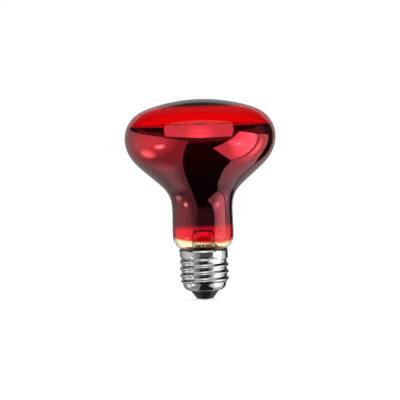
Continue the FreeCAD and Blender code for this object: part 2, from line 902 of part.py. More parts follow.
def shell_point(turn, spot):
    """The shell's outer surface at a part of a turn, for a point of its upright profile."""
    across, height = spot
    step = size("step_height")
    low = eased((height - size("bowl_top")) / step)
    high = eased((height - size("collar_foot")) / step + 1)
    if low > 0:
        bowl, root = size("bowl_diameter") / 2, size("root_diameter") / 2
        across = bowl + (root - bowl + thread_height(turn, height)) * low
        collar = size("collar_diameter") / 2
        across += (collar - across) * high
        lean = (height - size("shell_rim")) / size("rim_lean_height") + 1
        across -= size("rim_lean") * eased(lean)
    return across, height


def shell_profile():
    """Points up the shell: across its mouth, round its bowl and up its side."""
    radius = size("bowl_radius")
    centre = size("bowl_diameter") / 2 - radius
    top = size("bowl_top")
    rows = round(math.pi / 2 * radius * ROWS_PER_MILLIMETRE)
    bowl = [
        (centre + radius * math.sin(turn), top - radius * math.cos(turn))
        for turn in (math.pi / 2 * row / rows for row in range(rows))
    ]
    mouth = size("mouth_diameter") / 2
    lip = [
        (mouth + (centre - mouth) * row / MOUTH_ROWS, top - radius) for row in range(MOUTH_ROWS)
    ]
    rows = round((size("shell_rim") - top) * ROWS_PER_MILLIMETRE)
    side = [
        (centre + radius, top + (size("shell_rim") - top) * row / rows)
        for row in range(rows + 1)
    ]
    return lip + bowl + side


def shell_grid(depth):
    """Points of a skin of the shell, row by row upward, a depth inside its outer surface."""
    profile = shell_profile()
    columns = []
    for column in range(SHELL_COLUMNS):
        turn = column / SHELL_COLUMNS
        line = [shell_point(turn, spot) for spot in profile]
        before, after = [line[0]] + line[:-1], line[1:] + [line[-1]]
        skin = []
        for (across, up), (low_x, low_y), (high_x, high_y) in zip(line, before, after):
            length = math.hypot(high_x - low_x, high_y - low_y)
            inward_x, inward_y = (low_y - high_y) / length, (high_x - low_x) / length
            spot = around(across + inward_x * depth, 360 * turn, up + inward_y * depth)
            skin.append(spot)
        skin[-1].z = line[-1][1]
        columns.append(skin)
    return columns


def smooth_skin(columns):
    """A smooth face, closed round the axis, that passes through a grid of points."""
    count, rows = len(columns), len(columns[0])
    around_columns = [
        [
            point - (columns[index - 1][row] + columns[(index + 1) % count][row] - point * 2) / 6
            for row, point in enumerate(column)
        ]
        for index, column in enumerate(columns)
    ]
    poles = []
    for column in around_columns:
        line = [column[0], column[0] + (column[1] - column[0]) / 3]
        for below, point, above in zip(column, column[1:], column[2:]):
            line.append(point - (below + above - point * 2) / 6)
        line += [column[-1] + (column[-2] - column[-1]) / 3, column[-1]]
        poles.append(line)
    surface = Part.BSplineSurface()
    surface.buildFromPolesMultsKnots(
        poles,
        [1] * (count + 1),
        [4] + [1] * (rows - 2) + [4],
        [float(knot) for knot in range(count + 1)],
        [float(knot) for knot in range(rows)],
        True,
        False,
        3,
        3,
    )
    return surface.toShape()


def edge_ring(face, highest):
    """The closed edge at the top or the bottom of a face that goes round the axis."""
    rings = [edge for edge in face.Edges if edge.isClosed()]
    pick = max if highest else min
    return pick(rings, key=lambda edge: edge.BoundBox.Center.z)


def screw_shell():
    """A rolled skin of one thickness: collar, thread, bowl and the lip round its mouth."""
    outer = smooth_skin(shell_grid(0))
    inner = smooth_skin(shell_grid(size("shell_wall")))
    ends = [
        Part.makeRuledSurface(edge_ring(outer, highest), edge_ring(inner, highest))
        for highest in (False, True)
    ]
    skin = Part.makeShell([outer, inner, *ends])
    skin.sewShape()
    solid = Part.Solid(skin)
    if solid.Volume < 0:
        solid.reverse()
    shell = doc.addObject("Part::Feature", "screw_shell")
    shell.Shape = solid
    return shell


# Cement and solder at the shell's rim


def cement_profile(outline):
    """The ring between neck and shell, and the bead that shows above the rim."""
    clearance = "$cement_clearance"
    bead_up = "$shell_rim + $cement_bead"
    neck_start, neck_end = bulb_line(
        outline, f"-{clearance}", "shoulder", "seal", bead_up, "$cement_foot"
    )
    root = f"$root_diameter / 2 - $shell_wall - {clearance}"
    collar = f"$collar_diameter / 2 - $shell_wall - $rim_lean - {clearance}"
    step_up = f"$collar_foot + {clearance}"
    outline.path(
        [
            (root, "$cement_foot"),
            (root, step_up),
            (collar, f"{step_up} + $cement_step"),
            (collar, "$shell_rim"),
            ("$collar_diameter / 2 - $rim_lean", f"$shell_rim + {clearance}"),
        ],
        start=neck_end,
        end=neck_start,
    )


def solder_blank(name):
    """A drop that wraps the shell's rim at the side where the outer lead comes up."""
    drop = made(
        "Part::Ellipsoid",
        name,
        Radius1="$rim_solder_height / 2",
        Radius2="$rim_solder_thickness / 2",
        Radius3="$rim_solder_width / 2",
    )
    turned(drop, "$rim_solder_side")
    across = "$collar_diameter / 2"
    return placed(
        drop,
        f"{across} * cos($rim_solder_side)",
        f"{across} * sin($rim_solder_side)",
        "$shell_rim - $rim_solder_drop",
    )


def basing_cement(lead):
    """The cement, cut for the outer lead and for the solder at the rim."""
    ring = turned_body("cement_ring", cement_profile)
    return cut("basing_cement", ring, solder_blank("solder_bite"), lead)


def collar_profile(outline):
    """The upper shell's section, as the solder fits round it."""
    gap = "$rim_solder_clearance"
    outside = f"$collar_diameter / 2 + {gap}"
    inside = f"$collar_diameter / 2 - $shell_wall - {gap}"
    lean_up = "$shell_rim - $rim_lean_height"
    rim_up = f"$shell_rim + {gap}"
    outline.path(
        [
            (outside, "$collar_foot"),
            (outside, lean_up),
            (f"{outside} - $rim_lean", rim_up),
            (f"{inside} - $rim_lean", rim_up),
            (inside, lean_up),
            (inside, "$collar_foot"),
        ]
    )


def rim_solder(bulb, lead):
    """The solder that joins the outer lead to the shell's rim."""
    collar = turned_body("collar_gap", collar_profile)
    return cut("rim_solder", solder_blank("solder_drop"), collar, bulb, lead)


# The black glass and the centre contact

BOWL_BOTTOM = "$bowl_top - $bowl_radius"
EYELET_OUTSIDE = "$eyelet_bore / 2 + $eyelet_wall"


def insulator_profile(outline):
    """Black glass moulded through the shell's mouth, filling the bowl as a funnel."""
    bowl_across = "$bowl_diameter / 2 - $bowl_radius"
    fill = outline.arc(
        (value_of(bowl_across), size("bowl_top")),
        value_of("$bowl_radius - $shell_wall"),
        -90,
        0,
    )
    outline.put((fill, outline.CENTRE), bowl_across, "$bowl_top")
    outline.hold("Radius", (fill,), "$bowl_radius - $shell_wall")
    outline.put(outline.head(fill), across=bowl_across)
    outline.put(outline.tail(fill), up="$bowl_top")

    radius, slope = size("insulator_corner"), math.radians(size("insulator_slope"))
    side = "$insulator_diameter / 2"
    side_foot = f"{BOWL_BOTTOM} - $insulator_lip"
    side_across, side_up = value_of(side), value_of(side_foot)
    up = size("insulator_foot") + radius
    fall = (side_up - up + radius * math.sin(slope)) * math.tan(slope)
    across = side_across - fall - radius * math.cos(slope)
    corner = outline.arc((across, up), radius, -90, -math.degrees(slope))
    tail = outline.sketch.getPoint(*outline.tail(corner))
    cone = outline.line((tail.x, tail.y), (side_across, side_up))
    outline.join(corner, cone, smooth=True)
    outline.hold("Radius", (corner,), "$insulator_corner")
    outline.tie("Vertical", corner, outline.CENTRE, *outline.head(corner))
    outline.put(outline.head(corner), up="$insulator_foot")
    outline.hold("Angle", (cone,), "90 - $insulator_slope")
    outline.put(outline.tail(cone), side, side_foot)

    recess = "$contact_height + $contact_thickness"
    outline.path(
        [
            ("$bowl_diameter / 2 - $shell_wall - $insulator_edge", "$bowl_top"),
            ("$funnel_diameter / 2", "$funnel_foot"),
            (EYELET_OUTSIDE, "$eyelet_top"),
            (EYELET_OUTSIDE, recess),
            ("$contact_diameter / 2", recess),
            ("$contact_diameter / 2", "$insulator_foot"),
        ],
        start=outline.tail(fill),
        end=outline.head(corner),
    )
    outline.path(
        [
            (side, BOWL_BOTTOM),
            ("$mouth_diameter / 2", BOWL_BOTTOM),
            ("$mouth_diameter / 2", f"{BOWL_BOTTOM} + $shell_wall"),
        ],
        start=outline.tail(cone),
        end=outline.head(fill),
    )


def contact_profile(outline):
    """The eyelet: a disc with a rounded lower edge, and a barrel up into the glass."""
    radius = size("contact_corner")
    across = "$contact_diameter / 2 - $contact_corner"
    up = "$contact_height + $contact_corner"
    edge = outline.arc((value_of(across), value_of(up)), radius, -90, 0)
    outline.put((edge, outline.CENTRE), across, up)
    outline.hold("Radius", (edge,), "$contact_corner")
    outline.put(outline.head(edge), across=across)
    outline.put(outline.tail(edge), up=up)
    top = "$contact_height + $contact_thickness"
    outline.path(
        [
            ("$contact_diameter / 2", top),
            (EYELET_OUTSIDE, top),
            (EYELET_OUTSIDE, "$eyelet_top"),
            ("$eyelet_bore / 2", "$eyelet_top"),
            ("$eyelet_bore / 2", "$contact_height"),
        ],
        start=outline.tail(edge),
        end=outline.head(edge),
    )


def solder_profile(outline):
    """A low dome under the eyelet, and the plug that fills the eyelet's bore."""
    outline.path(
        [
            ("0", "$tip_lead_end"),
            ("0", "0"),
            ("$tip_flat / 2", "0"),
            ("$tip_diameter / 2", "$contact_height"),
            ("$eyelet_bore / 2", "$contact_height"),
            ("$eyelet_bore / 2", "$tip_plug"),
            ("$outer_lead_diameter / 2", "$tip_plug"),
            ("$outer_lead_diameter / 2", "$tip_lead_end"),
        ]
    )


def build_lamp():
    """Makes every piece of the lamp, each under the name of its file."""
    bulb = glass_bulb()
    side_lead = shell_lead()
    supports = [filament_support(n + 1) for n in range(int(size("support_count")))]
    wires = [make(side) for make in (inner_lead, seal_wire) for side in SIDES]
    return [
        bulb,
        reflector_coating(),
        glass_stem(),
        exhaust_tube(),
        support_rod(),
        *supports,
        filament(),
        *wires,
        side_lead,
        contact_lead(),
        screw_shell(),
        basing_cement(side_lead),
        rim_solder(bulb, side_lead),
        turned_body("cap_insulator", insulator_profile),
        turned_body("contact_eyelet", contact_profile),
        turned_body("tip_solder", solder_profile),
    ]


def write_parts(pieces):
    """Checks every object of the model, then writes each piece to its own file."""
    for thing in doc.Objects:
        if "Invalid" in thing.State or "Error" in thing.State:
            raise RuntimeError(f"{thing.Label} failed: {thing.State}")
    for piece in pieces:
        if piece.Shape.isNull() or not piece.Shape.isValid():
            raise RuntimeError(f"{piece.Label} has no valid shape")
    os.makedirs(PARTS_FOLDER, exist_ok=True)
    for piece in pieces:
        piece.Shape.exportStep(f"{PARTS_FOLDER}/{piece.Label}.step")


lamp = build_lamp()
doc.recompute()
write_parts(lamp)
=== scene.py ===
"""Studio picture of an infrared reflector heat lamp: a red blown bulb on an Edison screw cap.

Shapes are drawn in millimetres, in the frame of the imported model: Z up the lamp's axis from
the tip of its centre contact, and -Y towards the camera. MM turns them into metres.
"""

import math

import bmesh
import bpy
from mathutils import Matrix, Vector, noise


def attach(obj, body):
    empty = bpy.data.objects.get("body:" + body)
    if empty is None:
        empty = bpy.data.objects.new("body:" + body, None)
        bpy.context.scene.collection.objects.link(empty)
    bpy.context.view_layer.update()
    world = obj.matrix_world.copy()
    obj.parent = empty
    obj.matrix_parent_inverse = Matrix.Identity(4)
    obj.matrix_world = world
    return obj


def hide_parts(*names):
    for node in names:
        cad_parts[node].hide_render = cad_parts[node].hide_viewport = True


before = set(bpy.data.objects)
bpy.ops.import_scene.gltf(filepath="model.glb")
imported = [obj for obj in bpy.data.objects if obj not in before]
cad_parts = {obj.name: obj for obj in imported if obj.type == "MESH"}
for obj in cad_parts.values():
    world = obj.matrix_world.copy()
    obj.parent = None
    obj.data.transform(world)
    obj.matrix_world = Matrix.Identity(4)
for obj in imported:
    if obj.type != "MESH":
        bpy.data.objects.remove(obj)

MM = 0.001
TINY = 1e-6
X_AXIS = Vector((1, 0, 0))
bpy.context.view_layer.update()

# The bulb
LAMP_LENGTH = 106.3
BULB_RADIUS = 40.0
CROWN_HEIGHT = 20.3
RIM_RADIUS = 15.9
BELLY_RADIUS = 19.0
FLANK_ANGLE = 47.5
BLEND_RADIUS = 10.5
NECK_RADIUS = 16.2
SHOULDER_HEIGHT = 34.7
SHOULDER_RADIUS = 10.0
SEAT_RADIUS = 1.5
SEAL_RADIUS = 11.0
SEAL_HEIGHT = 19.0
GLASS_WALL = 0.9
WIDEST = LAMP_LENGTH - CROWN_HEIGHT
BLOWN_SOFTNESS = 4.2
SECTION_STEP = 0.8

# The mirror film
MIRROR_TOP = 92.3
MIRROR_FOOT = 39.3
MIRROR_GAP = 0.02
MIRROR_FILM = 0.1
MIRROR_FADE = 1.5
MIRROR_EDGE = 1.2
MIRROR_STEP = 1.6

# The red lacquer: how high it ends at the neck's foot and how that end leans and sways;
# then the heights between which painted shade on the glass's outline rises there, and where it
# starts at the crown
LACQUER_FOOT = 33.1
LACQUER_TILT = 0.084
LACQUER_DIP = 0.149
LACQUER_SWAY = 0.8
NECK_OUTLINE_SHADE = (30.5, 33.0)
CROWN_OUTLINE_SHADE = 102.5

# The glass stem
STEM_RADIUS = 6.1
STEM_WALL = 1.0
STEM_TOP = 34.0
STEM_DRAW = 1.2
PRESS_FOOT = 38.2
PRESS_TOP = 44.5
PRESS_WIDTH = 8.6
PRESS_THICKNESS = 3.6
PRESS_EDGE = 0.7
PRESS_SPREAD = 0.6
EXHAUST_RADIUS = 1.7
EXHAUST_BORE = 0.9
EXHAUST_TIP = 13.0
EXHAUST_GAP = 0.3
EXHAUST_LIP = 0.05

# The filament
COIL_HEIGHT = 66.0
COIL_PATH_RADIUS = 9.0
COIL_RADIUS = 0.45
COIL_SWEEP = 240.0
COIL_WIRE = 0.16
COIL_PITCH = 0.3

# The screw shell, with the ends of its thread and the drop of the collar's foot in turns
SHELL_WALL = 0.3
SHELL_RIM = 26.5
RIM_LEAN = 0.15
RIM_LEAN_HEIGHT = 0.9
COLLAR_RADIUS = 12.85
COLLAR_FOOT = 23.1
ROOT_RADIUS = 12.1
STEP_HEIGHT = 0.9
BOWL_SIDE = 11.6
BOWL_RADIUS = 4.2
BOWL_TOP = 8.9
MOUTH_RADIUS = 6.9
THREAD_PITCH = 3.629
THREAD_DEPTH = 1.0
CREST_RADIUS = 0.8
CREST_HEIGHT = 18.45
THREAD_UP = 0.84
THREAD_DOWN = 3.0
RUNOUT_UP = 0.12
RUNOUT_DOWN = 0.4
THREAD_FOOT = 8.0
COLLAR_DROP = 1.1
DROP_START = 0.8
DROP_REACH = 0.08
DROP_END = 0.2
DROP_SEAM = 0.02
RIM_EDGE = 0.1
SHELL_STEP = 0.2
SHELL_INNER_STEP = 0.5

# The cement between shell and neck, with its lumps as pairs of size and height
CEMENT_FOOT = 20.5
CEMENT_GAP = 0.05
CEMENT_STEP = 0.4
CEMENT_BEAD = 0.3
CEMENT_BACK = 1.15
CEMENT_BACK_TURN = 0.08
CEMENT_BACK_START = 0.8
CEMENT_BACK_REACH = 0.12
CEMENT_LUMPS = ((1.1, 0.09), (0.4, 0.04))

# The solder on the rim
SOLDER_SIDE = 192.0
SOLDER_WIDTH = 2.4
SOLDER_RISE = 0.8
SOLDER_HANG = 2.0
SOLDER_SKIN = 0.12
SOLDER_LUMP = 0.75
SOLDER_LUMP_DROP = 0.1
SOLDER_LUMP_REACH = 0.55
SOLDER_GRIP = 0.9
SOLDER_HEAD = 0.2
SOLDER_TAPER = 0.6
SOLDER_RIPPLE = 0.5
SOLDER_UNEVEN = 0.05

# The black glass and the solder tip
INSULATOR_RADIUS = 7.3
INSULATOR_LIP = 0.25
INSULATOR_SLOPE = 36.9
INSULATOR_CORNER = 0.8
INSULATOR_FOOT = 0.45
INSULATOR_EDGE = 1.0
INSULATOR_BEVEL = 0.12
FUNNEL_RADIUS = 2.5
FUNNEL_FOOT = 5.0
CONTACT_RADIUS = 3.5
CONTACT_TOP = 0.8
CONTACT_FOOT = 0.4
EYELET_RADIUS = 1.3
EYELET_TOP = 2.2
TIP_RADIUS = 2.6
TIP_FLAT = 1.5
TIP_NECK = 1.0
TIP_TOP = 1.6
TIP_RIPPLE = 0.9
TIP_UNEVEN = 0.08

# The camera
CAMERA_AIM = Vector((-1.1, 0, 52.8))
CAMERA_DISTANCE = 1420.0
CAMERA_FIELD = 212.0
CAMERA_PITCH = 2.9
CAMERA_ROLL = 1.85
SENSOR = 36.0

# The studio, in metres, with levels of light where 1 is white
STUDIO_REACH = 0.7
STUDIO_CENTRE = Vector((0, 0, 0.08))
FLOOR_REACH = 3.0
FLOOR_GLOW = 0.6
FILL = 0.7
DARKNESS = 0.012
HAZE = 0.08
SCREEN = 0.26


# Meshes


def arc(centre, radius, start, end, step):
    """Points along an arc between two angles, about one every step."""
    sweep = math.radians(end - start)
    count = max(2, math.ceil(abs(sweep) * radius / step))
    angles = [math.radians(start) + sweep * number / count for number in range(count + 1)]
    return [
        (centre[0] + radius * math.cos(angle), centre[1] + radius * math.sin(angle))
        for angle in angles
    ]


def filled(points, step):
    """The same path with points added so that none lie further apart than step."""
    path = [points[0]]
    for start, end in zip(points, points[1:]):
        count = max(1, math.ceil(math.dist(start, end) / step - TINY))
        for number in range(1, count + 1):
            part = number / count
            path.append(tuple(a + (b - a) * part for a, b in zip(start, end)))
    return path


def ring(radius, height, columns):
    """A level circle of points, or the one point on the axis."""
    if radius < TINY:
        return [Vector((0, 0, height))]
    turns = [math.tau * column / columns for column in range(columns)]
    return [
        Vector((radius * math.cos(turn), radius * math.sin(turn), height)) for turn in turns
    ]


def softened(points, step, reach):
    """The same path with its curvature evened out, as blown glass has it, but not its size."""
    path = [Vector(point) for point in filled(points, step)]

    def at(line, number):
        """A point of the line, which is mirrored at the axis and turned round at its end."""
        if number < 0:
            return Vector((-line[-number].x, line[-number].y))
        if number >= len(line):
            return line[-1] * 2 - line[2 * len(line) - number - 2]
        return line[number]

    def averaged(line, width):
        """Each point as the mean of its neighbours, with weights that fall off over a width."""
        spread = range(int(3 * width / step))
        weights = [math.exp(-((number * step / width) ** 2) / 2) for number in spread]
        evened = []
        for number in range(len(line)):
            total, weight = line[number].copy(), 1.0
            for away, share in enumerate(weights[1:], start=1):
                total += (at(line, number - away) + at(line, number + away)) * share
                weight += 2 * share
            evened.append(total / weight)
        return evened

    soft = averaged(path, reach)
    for _ in range(2):
        lost = averaged([point - even for point, even in zip(path, soft)], 2 * reach)
        soft = [even + rest for even, rest in zip(soft, lost)]
    return [tuple(point) for point in soft]


def skin(name, rings, closed=False, sharp=35):
    """A mesh through rings of points in their order. A ring of one point is a pole."""
    corners, starts = [], []
    for points in rings:
        starts.append(len(corners))
        corners += [point * MM for point in points]
    links = list(zip(range(len(rings)), range(1, len(rings))))
    if closed:
        links.append((len(rings) - 1, 0))
    faces = []
    for first, second in links:
        above, below = len(rings[first]), len(rings[second])
        for step in range(max(above, below)):
            face = [
                starts[first] + step % above,
                starts[second] + step % below,
                starts[second] + (step + 1) % below,
                starts[first] + (step + 1) % above,
            ]
            faces.append(list(dict.fromkeys(face)))
    mesh = bpy.data.meshes.new(name)
    mesh.from_pydata(corners, [], faces)
    shell = bmesh.new()
    shell.from_mesh(mesh)
    bmesh.ops.recalc_face_normals(shell, faces=shell.faces)
    shell.to_mesh(mesh)
    shell.free()
    mesh.shade_smooth()
    mesh.set_sharp_from_angle(angle=math.radians(sharp))
    piece = bpy.data.objects.new(name, mesh)
    bpy.context.scene.collection.objects.link(piece)
    return piece


def spun(name, profile, columns=192, closed=False, sharp=35):
    """A profile of radius and height turned round the axis."""
    rings = [ring(radius, height, columns) for radius, height in profile]
    return skin(name, rings, closed, sharp)


def swept(name, path, radius, sides=6):
    """A round wire along a path of points, closed at both ends."""
    rings = [[path[0]]]
    side = None
    for number, point in enumerate(path):
        before, after = path[max(number - 1, 0)], path[min(number + 1, len(path) - 1)]
        along = (after - before).normalized()
        if side is None:
            side = along.orthogonal().normalized()
        side = (side - along * side.dot(along)).normalized()
        across = along.cross(side)
        turns = [math.tau * step / sides for step in range(sides)]
        rings.append(
            [point + (side * math.cos(turn) + across * math.sin(turn)) * radius for turn in turns]
        )
    rings.append([path[-1]])
    return skin(name, rings, sharp=60)


def eased(fraction):
    """A smooth step from 0 to 1."""
    held = min(max(fraction, 0.0), 1.0)
    return held * held * (3 - 2 * held)


def ripple(point, size):
    """Smooth unevenness between about -1 and 1 that repeats in every run."""
    return noise.noise(point / size)


def placed(piece, node, material):
    """The piece takes the place of a CAD node and carries its finish."""
    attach(piece, "root")
    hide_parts(node)
    piece.data.materials.clear()
    piece.data.materials.append(material)
    return piece


# Shapes of the pieces


def bulb_line(inset, step):
    """The bulb's section from crown to seal, a distance inside its outer skin."""
    rim_across = BULB_RADIUS - RIM_RADIUS
    crown = rim_across**2 + CROWN_HEIGHT**2 - RIM_RADIUS**2
    crown_radius = crown / 2 / (CROWN_HEIGHT - RIM_RADIUS)
    crown_centre = (0, LAMP_LENGTH - crown_radius)
    crown_end = math.degrees(math.atan2(WIDEST - crown_centre[1], rim_across))

    belly = (BULB_RADIUS - BELLY_RADIUS, WIDEST)
    slope = math.radians(FLANK_ANGLE)
    blend_across = NECK_RADIUS + BLEND_RADIUS
    fall = BELLY_RADIUS + BLEND_RADIUS - (blend_across - belly[0]) * math.cos(slope)
    blend = (blend_across, WIDEST - fall / math.sin(slope))

    shoulder = (NECK_RADIUS - SHOULDER_RADIUS, SHOULDER_HEIGHT)
    reach = SHOULDER_RADIUS + SEAT_RADIUS
    seat_across = SEAL_RADIUS + SEAT_RADIUS
    turn = math.degrees(math.acos((seat_across - shoulder[0]) / reach))
    seat = (seat_across, SHOULDER_HEIGHT - reach * math.sin(math.radians(turn)))

    line = arc(crown_centre, crown_radius - inset, 90, crown_end, step)
    line += arc((rim_across, WIDEST), RIM_RADIUS - inset, crown_end, 0, step)[1:]
    line += arc(belly, BELLY_RADIUS - inset, 0, -FLANK_ANGLE, step)[1:]
    line += arc(blend, BLEND_RADIUS + inset, 180 - FLANK_ANGLE, 180, step)
    line.append((NECK_RADIUS - inset, SHOULDER_HEIGHT))
    line = softened(line, step, BLOWN_SOFTNESS)
    line += arc(shoulder, SHOULDER_RADIUS - inset, 0, -turn, step)[1:]
    line += arc(seat, SEAT_RADIUS + inset, 180 - turn, 180, step)[1:]
    line.append((SEAL_RADIUS - inset, SEAL_HEIGHT))
    return filled(line, step)


def bulb_between(inset, step, low, high):
    """The part of the bulb's section between two heights."""
    line = bulb_line(inset, step)
    kept = []
    for start, end in zip(line, line[1:]):
        for limit in (high, low):
            if start[1] > limit > end[1]:
                part = (start[1] - limit) / (start[1] - end[1])
                kept.append((start[0] + (end[0] - start[0]) * part, limit))
        if low <= end[1] <= high:
            kept.append(end)
    return sorted(kept, key=lambda point: -point[1])


def glass_bulb():
    """The blown bulb, one wall of glass from its crown to the seal under the neck."""
    outer = bulb_line(0, SECTION_STEP)
    inner = bulb_line(GLASS_WALL, SECTION_STEP)
    return spun("blown_bulb", outer + inner[::-1])


def mirror_film():
    """The film on the inside of the bowl and the upper neck."""
    depth = GLASS_WALL + MIRROR_GAP
    outer = bulb_between(depth, SECTION_STEP, MIRROR_FOOT, MIRROR_TOP)
    inner = bulb_between(depth + MIRROR_FILM, MIRROR_STEP, MIRROR_FOOT, MIRROR_TOP)
    return spun("mirror_film", outer + inner[::-1], closed=True)


def slot_ring(half_width, half_depth, height, columns):
    """A level loop that is round where the two halves are equal and a slot where they differ."""
    points = []
    flat = half_width - half_depth
    for column in range(columns):
        angle = math.tau * column / columns
        share = abs(math.cos(angle)) ** 0.5 * math.copysign(1, math.cos(angle))
        across = half_depth * math.cos(angle) + flat * share
        points.append(Vector((across, half_depth * math.sin(angle), height)))
    return points


def glass_stem():
    """The flare, the tube and the flat press that closes it, drawn smoothly into each other."""
    columns = 96
    bend = SEAL_RADIUS - GLASS_WALL - STEM_RADIUS
    centre = (SEAL_RADIUS - GLASS_WALL, SEAL_HEIGHT + bend)
    rings = []
    press_top = PRESS_TOP - PRESS_EDGE
    for angle in range(0, 91, 15):
        pull = PRESS_EDGE * (1 - math.sin(math.radians(angle)))
        height = press_top + PRESS_EDGE * math.cos(math.radians(angle))
        half_depth = PRESS_THICKNESS / 2 - pull
        rings.append(slot_ring(PRESS_WIDTH / 2 - pull, half_depth, height, columns))
    rings.insert(0, [Vector((0, 0, PRESS_TOP))])
    rings.append(slot_ring(PRESS_WIDTH / 2, PRESS_THICKNESS / 2, PRESS_FOOT, columns))
    draw = 24
    low = STEM_TOP - STEM_DRAW
    for number in range(1, draw + 1):
        height = PRESS_FOOT + (low - PRESS_FOOT) * number / draw
        share = eased(number / draw)
        half_width = PRESS_WIDTH / 2 + (STEM_RADIUS - PRESS_WIDTH / 2) * share**PRESS_SPREAD
        half_depth = PRESS_THICKNESS / 2 + (STEM_RADIUS - PRESS_THICKNESS / 2) * share
        rings.append(slot_ring(half_width, half_depth, height, columns))
    outer = filled([(STEM_RADIUS, low), (STEM_RADIUS, centre[1])], SECTION_STEP)[1:]
    outer += arc(centre, bend, 180, 270, 0.4)[1:]
    outer += [(SEAL_RADIUS, SEAL_HEIGHT), (SEAL_RADIUS, SEAL_HEIGHT - STEM_WALL)]
    inner = arc(centre, bend + STEM_WALL, 270, 180, 0.4)
    bore = STEM_RADIUS - STEM_WALL
    ceiling = STEM_TOP - STEM_WALL
    inner += filled([(bore, centre[1]), (bore, ceiling - bore / 2)], SECTION_STEP)[1:]
    for angle in range(10, 91, 10):
        turn = math.radians(angle)
        inner.append((bore * math.cos(turn), ceiling - bore / 2 * (1 - math.sin(turn))))
    rings += [ring(radius, height, columns) for radius, height in outer + inner[:-1]]
    rings.append([Vector((0, 0, ceiling))])
    return skin("drawn_stem", rings, sharp=60)


def exhaust_tube():
    """The tube the lamp was pumped through, melted shut at its lower end."""
    mouth = STEM_TOP - STEM_WALL - EXHAUST_GAP
    centre = (0, EXHAUST_TIP + EXHAUST_RADIUS)
    outer = [(EXHAUST_BORE, mouth), (EXHAUST_RADIUS, mouth)]
    outer = filled(outer + [(EXHAUST_RADIUS, centre[1])], SECTION_STEP)
    outer += arc(centre, EXHAUST_RADIUS, 0, -90, 0.25)[1:]
    inner = arc(centre, EXHAUST_BORE, -90, 0, 0.25)
    inner = filled(inner + [(EXHAUST_BORE, mouth - EXHAUST_LIP)], SECTION_STEP)
    return spun("exhaust_pipe", outer + inner, columns=64, closed=True, sharp=60)


def coiled_filament():
    """The tungsten wire, wound in a close coil that is bent round the axis."""
    length = math.radians(COIL_SWEEP) * COIL_PATH_RADIUS
    turns = round(length / COIL_PITCH)
    start = math.radians(90 + (360 - COIL_SWEEP) / 2)
    winding = COIL_RADIUS - COIL_WIRE / 2
    steps = 12
    path = []
    for number in range(turns * steps + 1):
        angle = start + math.radians(COIL_SWEEP) * number / (turns * steps)
        turn = math.tau * number / steps
        radius = COIL_PATH_RADIUS + winding * math.cos(turn)
        path.append(
            Vector(
                (
                    radius * math.cos(angle),
                    radius * math.sin(angle),
                    COIL_HEIGHT + winding * math.sin(turn),
                )
            )
        )
    return swept("coiled_filament", path, COIL_WIRE / 2)


def thread_height(turn, height):
    """How far the thread stands out at a part of a turn and a height."""
    flank = 2 * math.atan2(2 * THREAD_DEPTH, THREAD_PITCH)
    hollow = THREAD_PITCH / 2 / math.sin(flank) - CREST_RADIUS
    along = (height - CREST_HEIGHT) / THREAD_PITCH - turn
    place = turn + round(along)
    off = abs(along - round(along)) * THREAD_PITCH
    if off < CREST_RADIUS * math.sin(flank):
        bump = THREAD_DEPTH - CREST_RADIUS + math.sqrt(CREST_RADIUS**2 - off**2)
    else:
        bump = hollow - math.sqrt(hollow**2 - (THREAD_PITCH / 2 - off) ** 2)
    start = (place + THREAD_DOWN) / RUNOUT_DOWN
    end = (THREAD_UP - place) / RUNOUT_UP
    return bump * eased(start) * eased(end) * eased(height - THREAD_FOOT)


def collar_foot(turn):
    """How high the collar ends: lower where the top of the thread runs into it."""
    before = eased((turn - DROP_START) / DROP_REACH) * eased((1.0 - turn) / DROP_SEAM)
    after = eased((DROP_END - turn) / DROP_END) * eased(turn / DROP_SEAM)
    return COLLAR_FOOT - COLLAR_DROP * max(before, after)


def shell_point(turn, spot):
    """The shell's outer surface at a part of a turn, for a point of its profile."""
    across, height = spot
    low = eased((height - BOWL_TOP) / STEP_HEIGHT)
    high = eased((height - collar_foot(turn)) / STEP_HEIGHT + 1)
    if low > 0:
        across = BOWL_SIDE + (ROOT_RADIUS - BOWL_SIDE + thread_height(turn, height)) * low
        across += (COLLAR_RADIUS - across) * high
        across -= RIM_LEAN * eased((height - SHELL_RIM) / RIM_LEAN_HEIGHT + 1)
    return across, height


def shell_skin(depth, step, columns):
    """Rings up a skin of the shell, a depth inside its outer surface."""
    centre = BOWL_SIDE - BOWL_RADIUS
    bowl_foot = BOWL_TOP - BOWL_RADIUS
    profile = filled([(MOUTH_RADIUS, bowl_foot), (centre, bowl_foot)], step)
    profile += arc((centre, BOWL_TOP), BOWL_RADIUS, -90, 0, step)[1:]
    profile += filled([(BOWL_SIDE, BOWL_TOP), (BOWL_SIDE, SHELL_RIM)], step)[1:]
    lines = []
    for column in range(columns):
        turn = column / columns
        line = [shell_point(turn, spot) for spot in profile]
        points = []
        for number, (across, up) in enumerate(line):
            low = line[max(number - 1, 0)]
            high = line[min(number + 1, len(line) - 1)]
            length = math.dist(low, high)
            radius = across + (low[1] - high[1]) / length * depth
            level = up + (high[0] - low[0]) / length * depth
            angle = math.tau * turn
            points.append(Vector((radius * math.cos(angle), radius * math.sin(angle), level)))
        points[-1].z = SHELL_RIM
        lines.append(points)
    return [list(points) for points in zip(*lines)]


def screw_shell():
    """The rolled shell: collar, thread, bowl and the lip round its mouth."""
    columns = 240
    outer = shell_skin(0, SHELL_STEP, columns)
    inner = shell_skin(SHELL_WALL, SHELL_INNER_STEP, columns)
    for edge, other in ((outer[-1], inner[-1]), (inner[-1], outer[-1])):
        for number, point in enumerate(edge):
            edge[number] = point + (other[number] - point).normalized() * RIM_EDGE / 2
    for edge in (outer[-1], inner[-1]):
        for point in edge:
            point.z = SHELL_RIM
    for edge in (outer[-2], inner[-2]):
        for point in edge:
            point.z = min(point.z, SHELL_RIM - RIM_EDGE)
    return skin("rolled_shell", outer[::-1] + inner, closed=True, sharp=50)


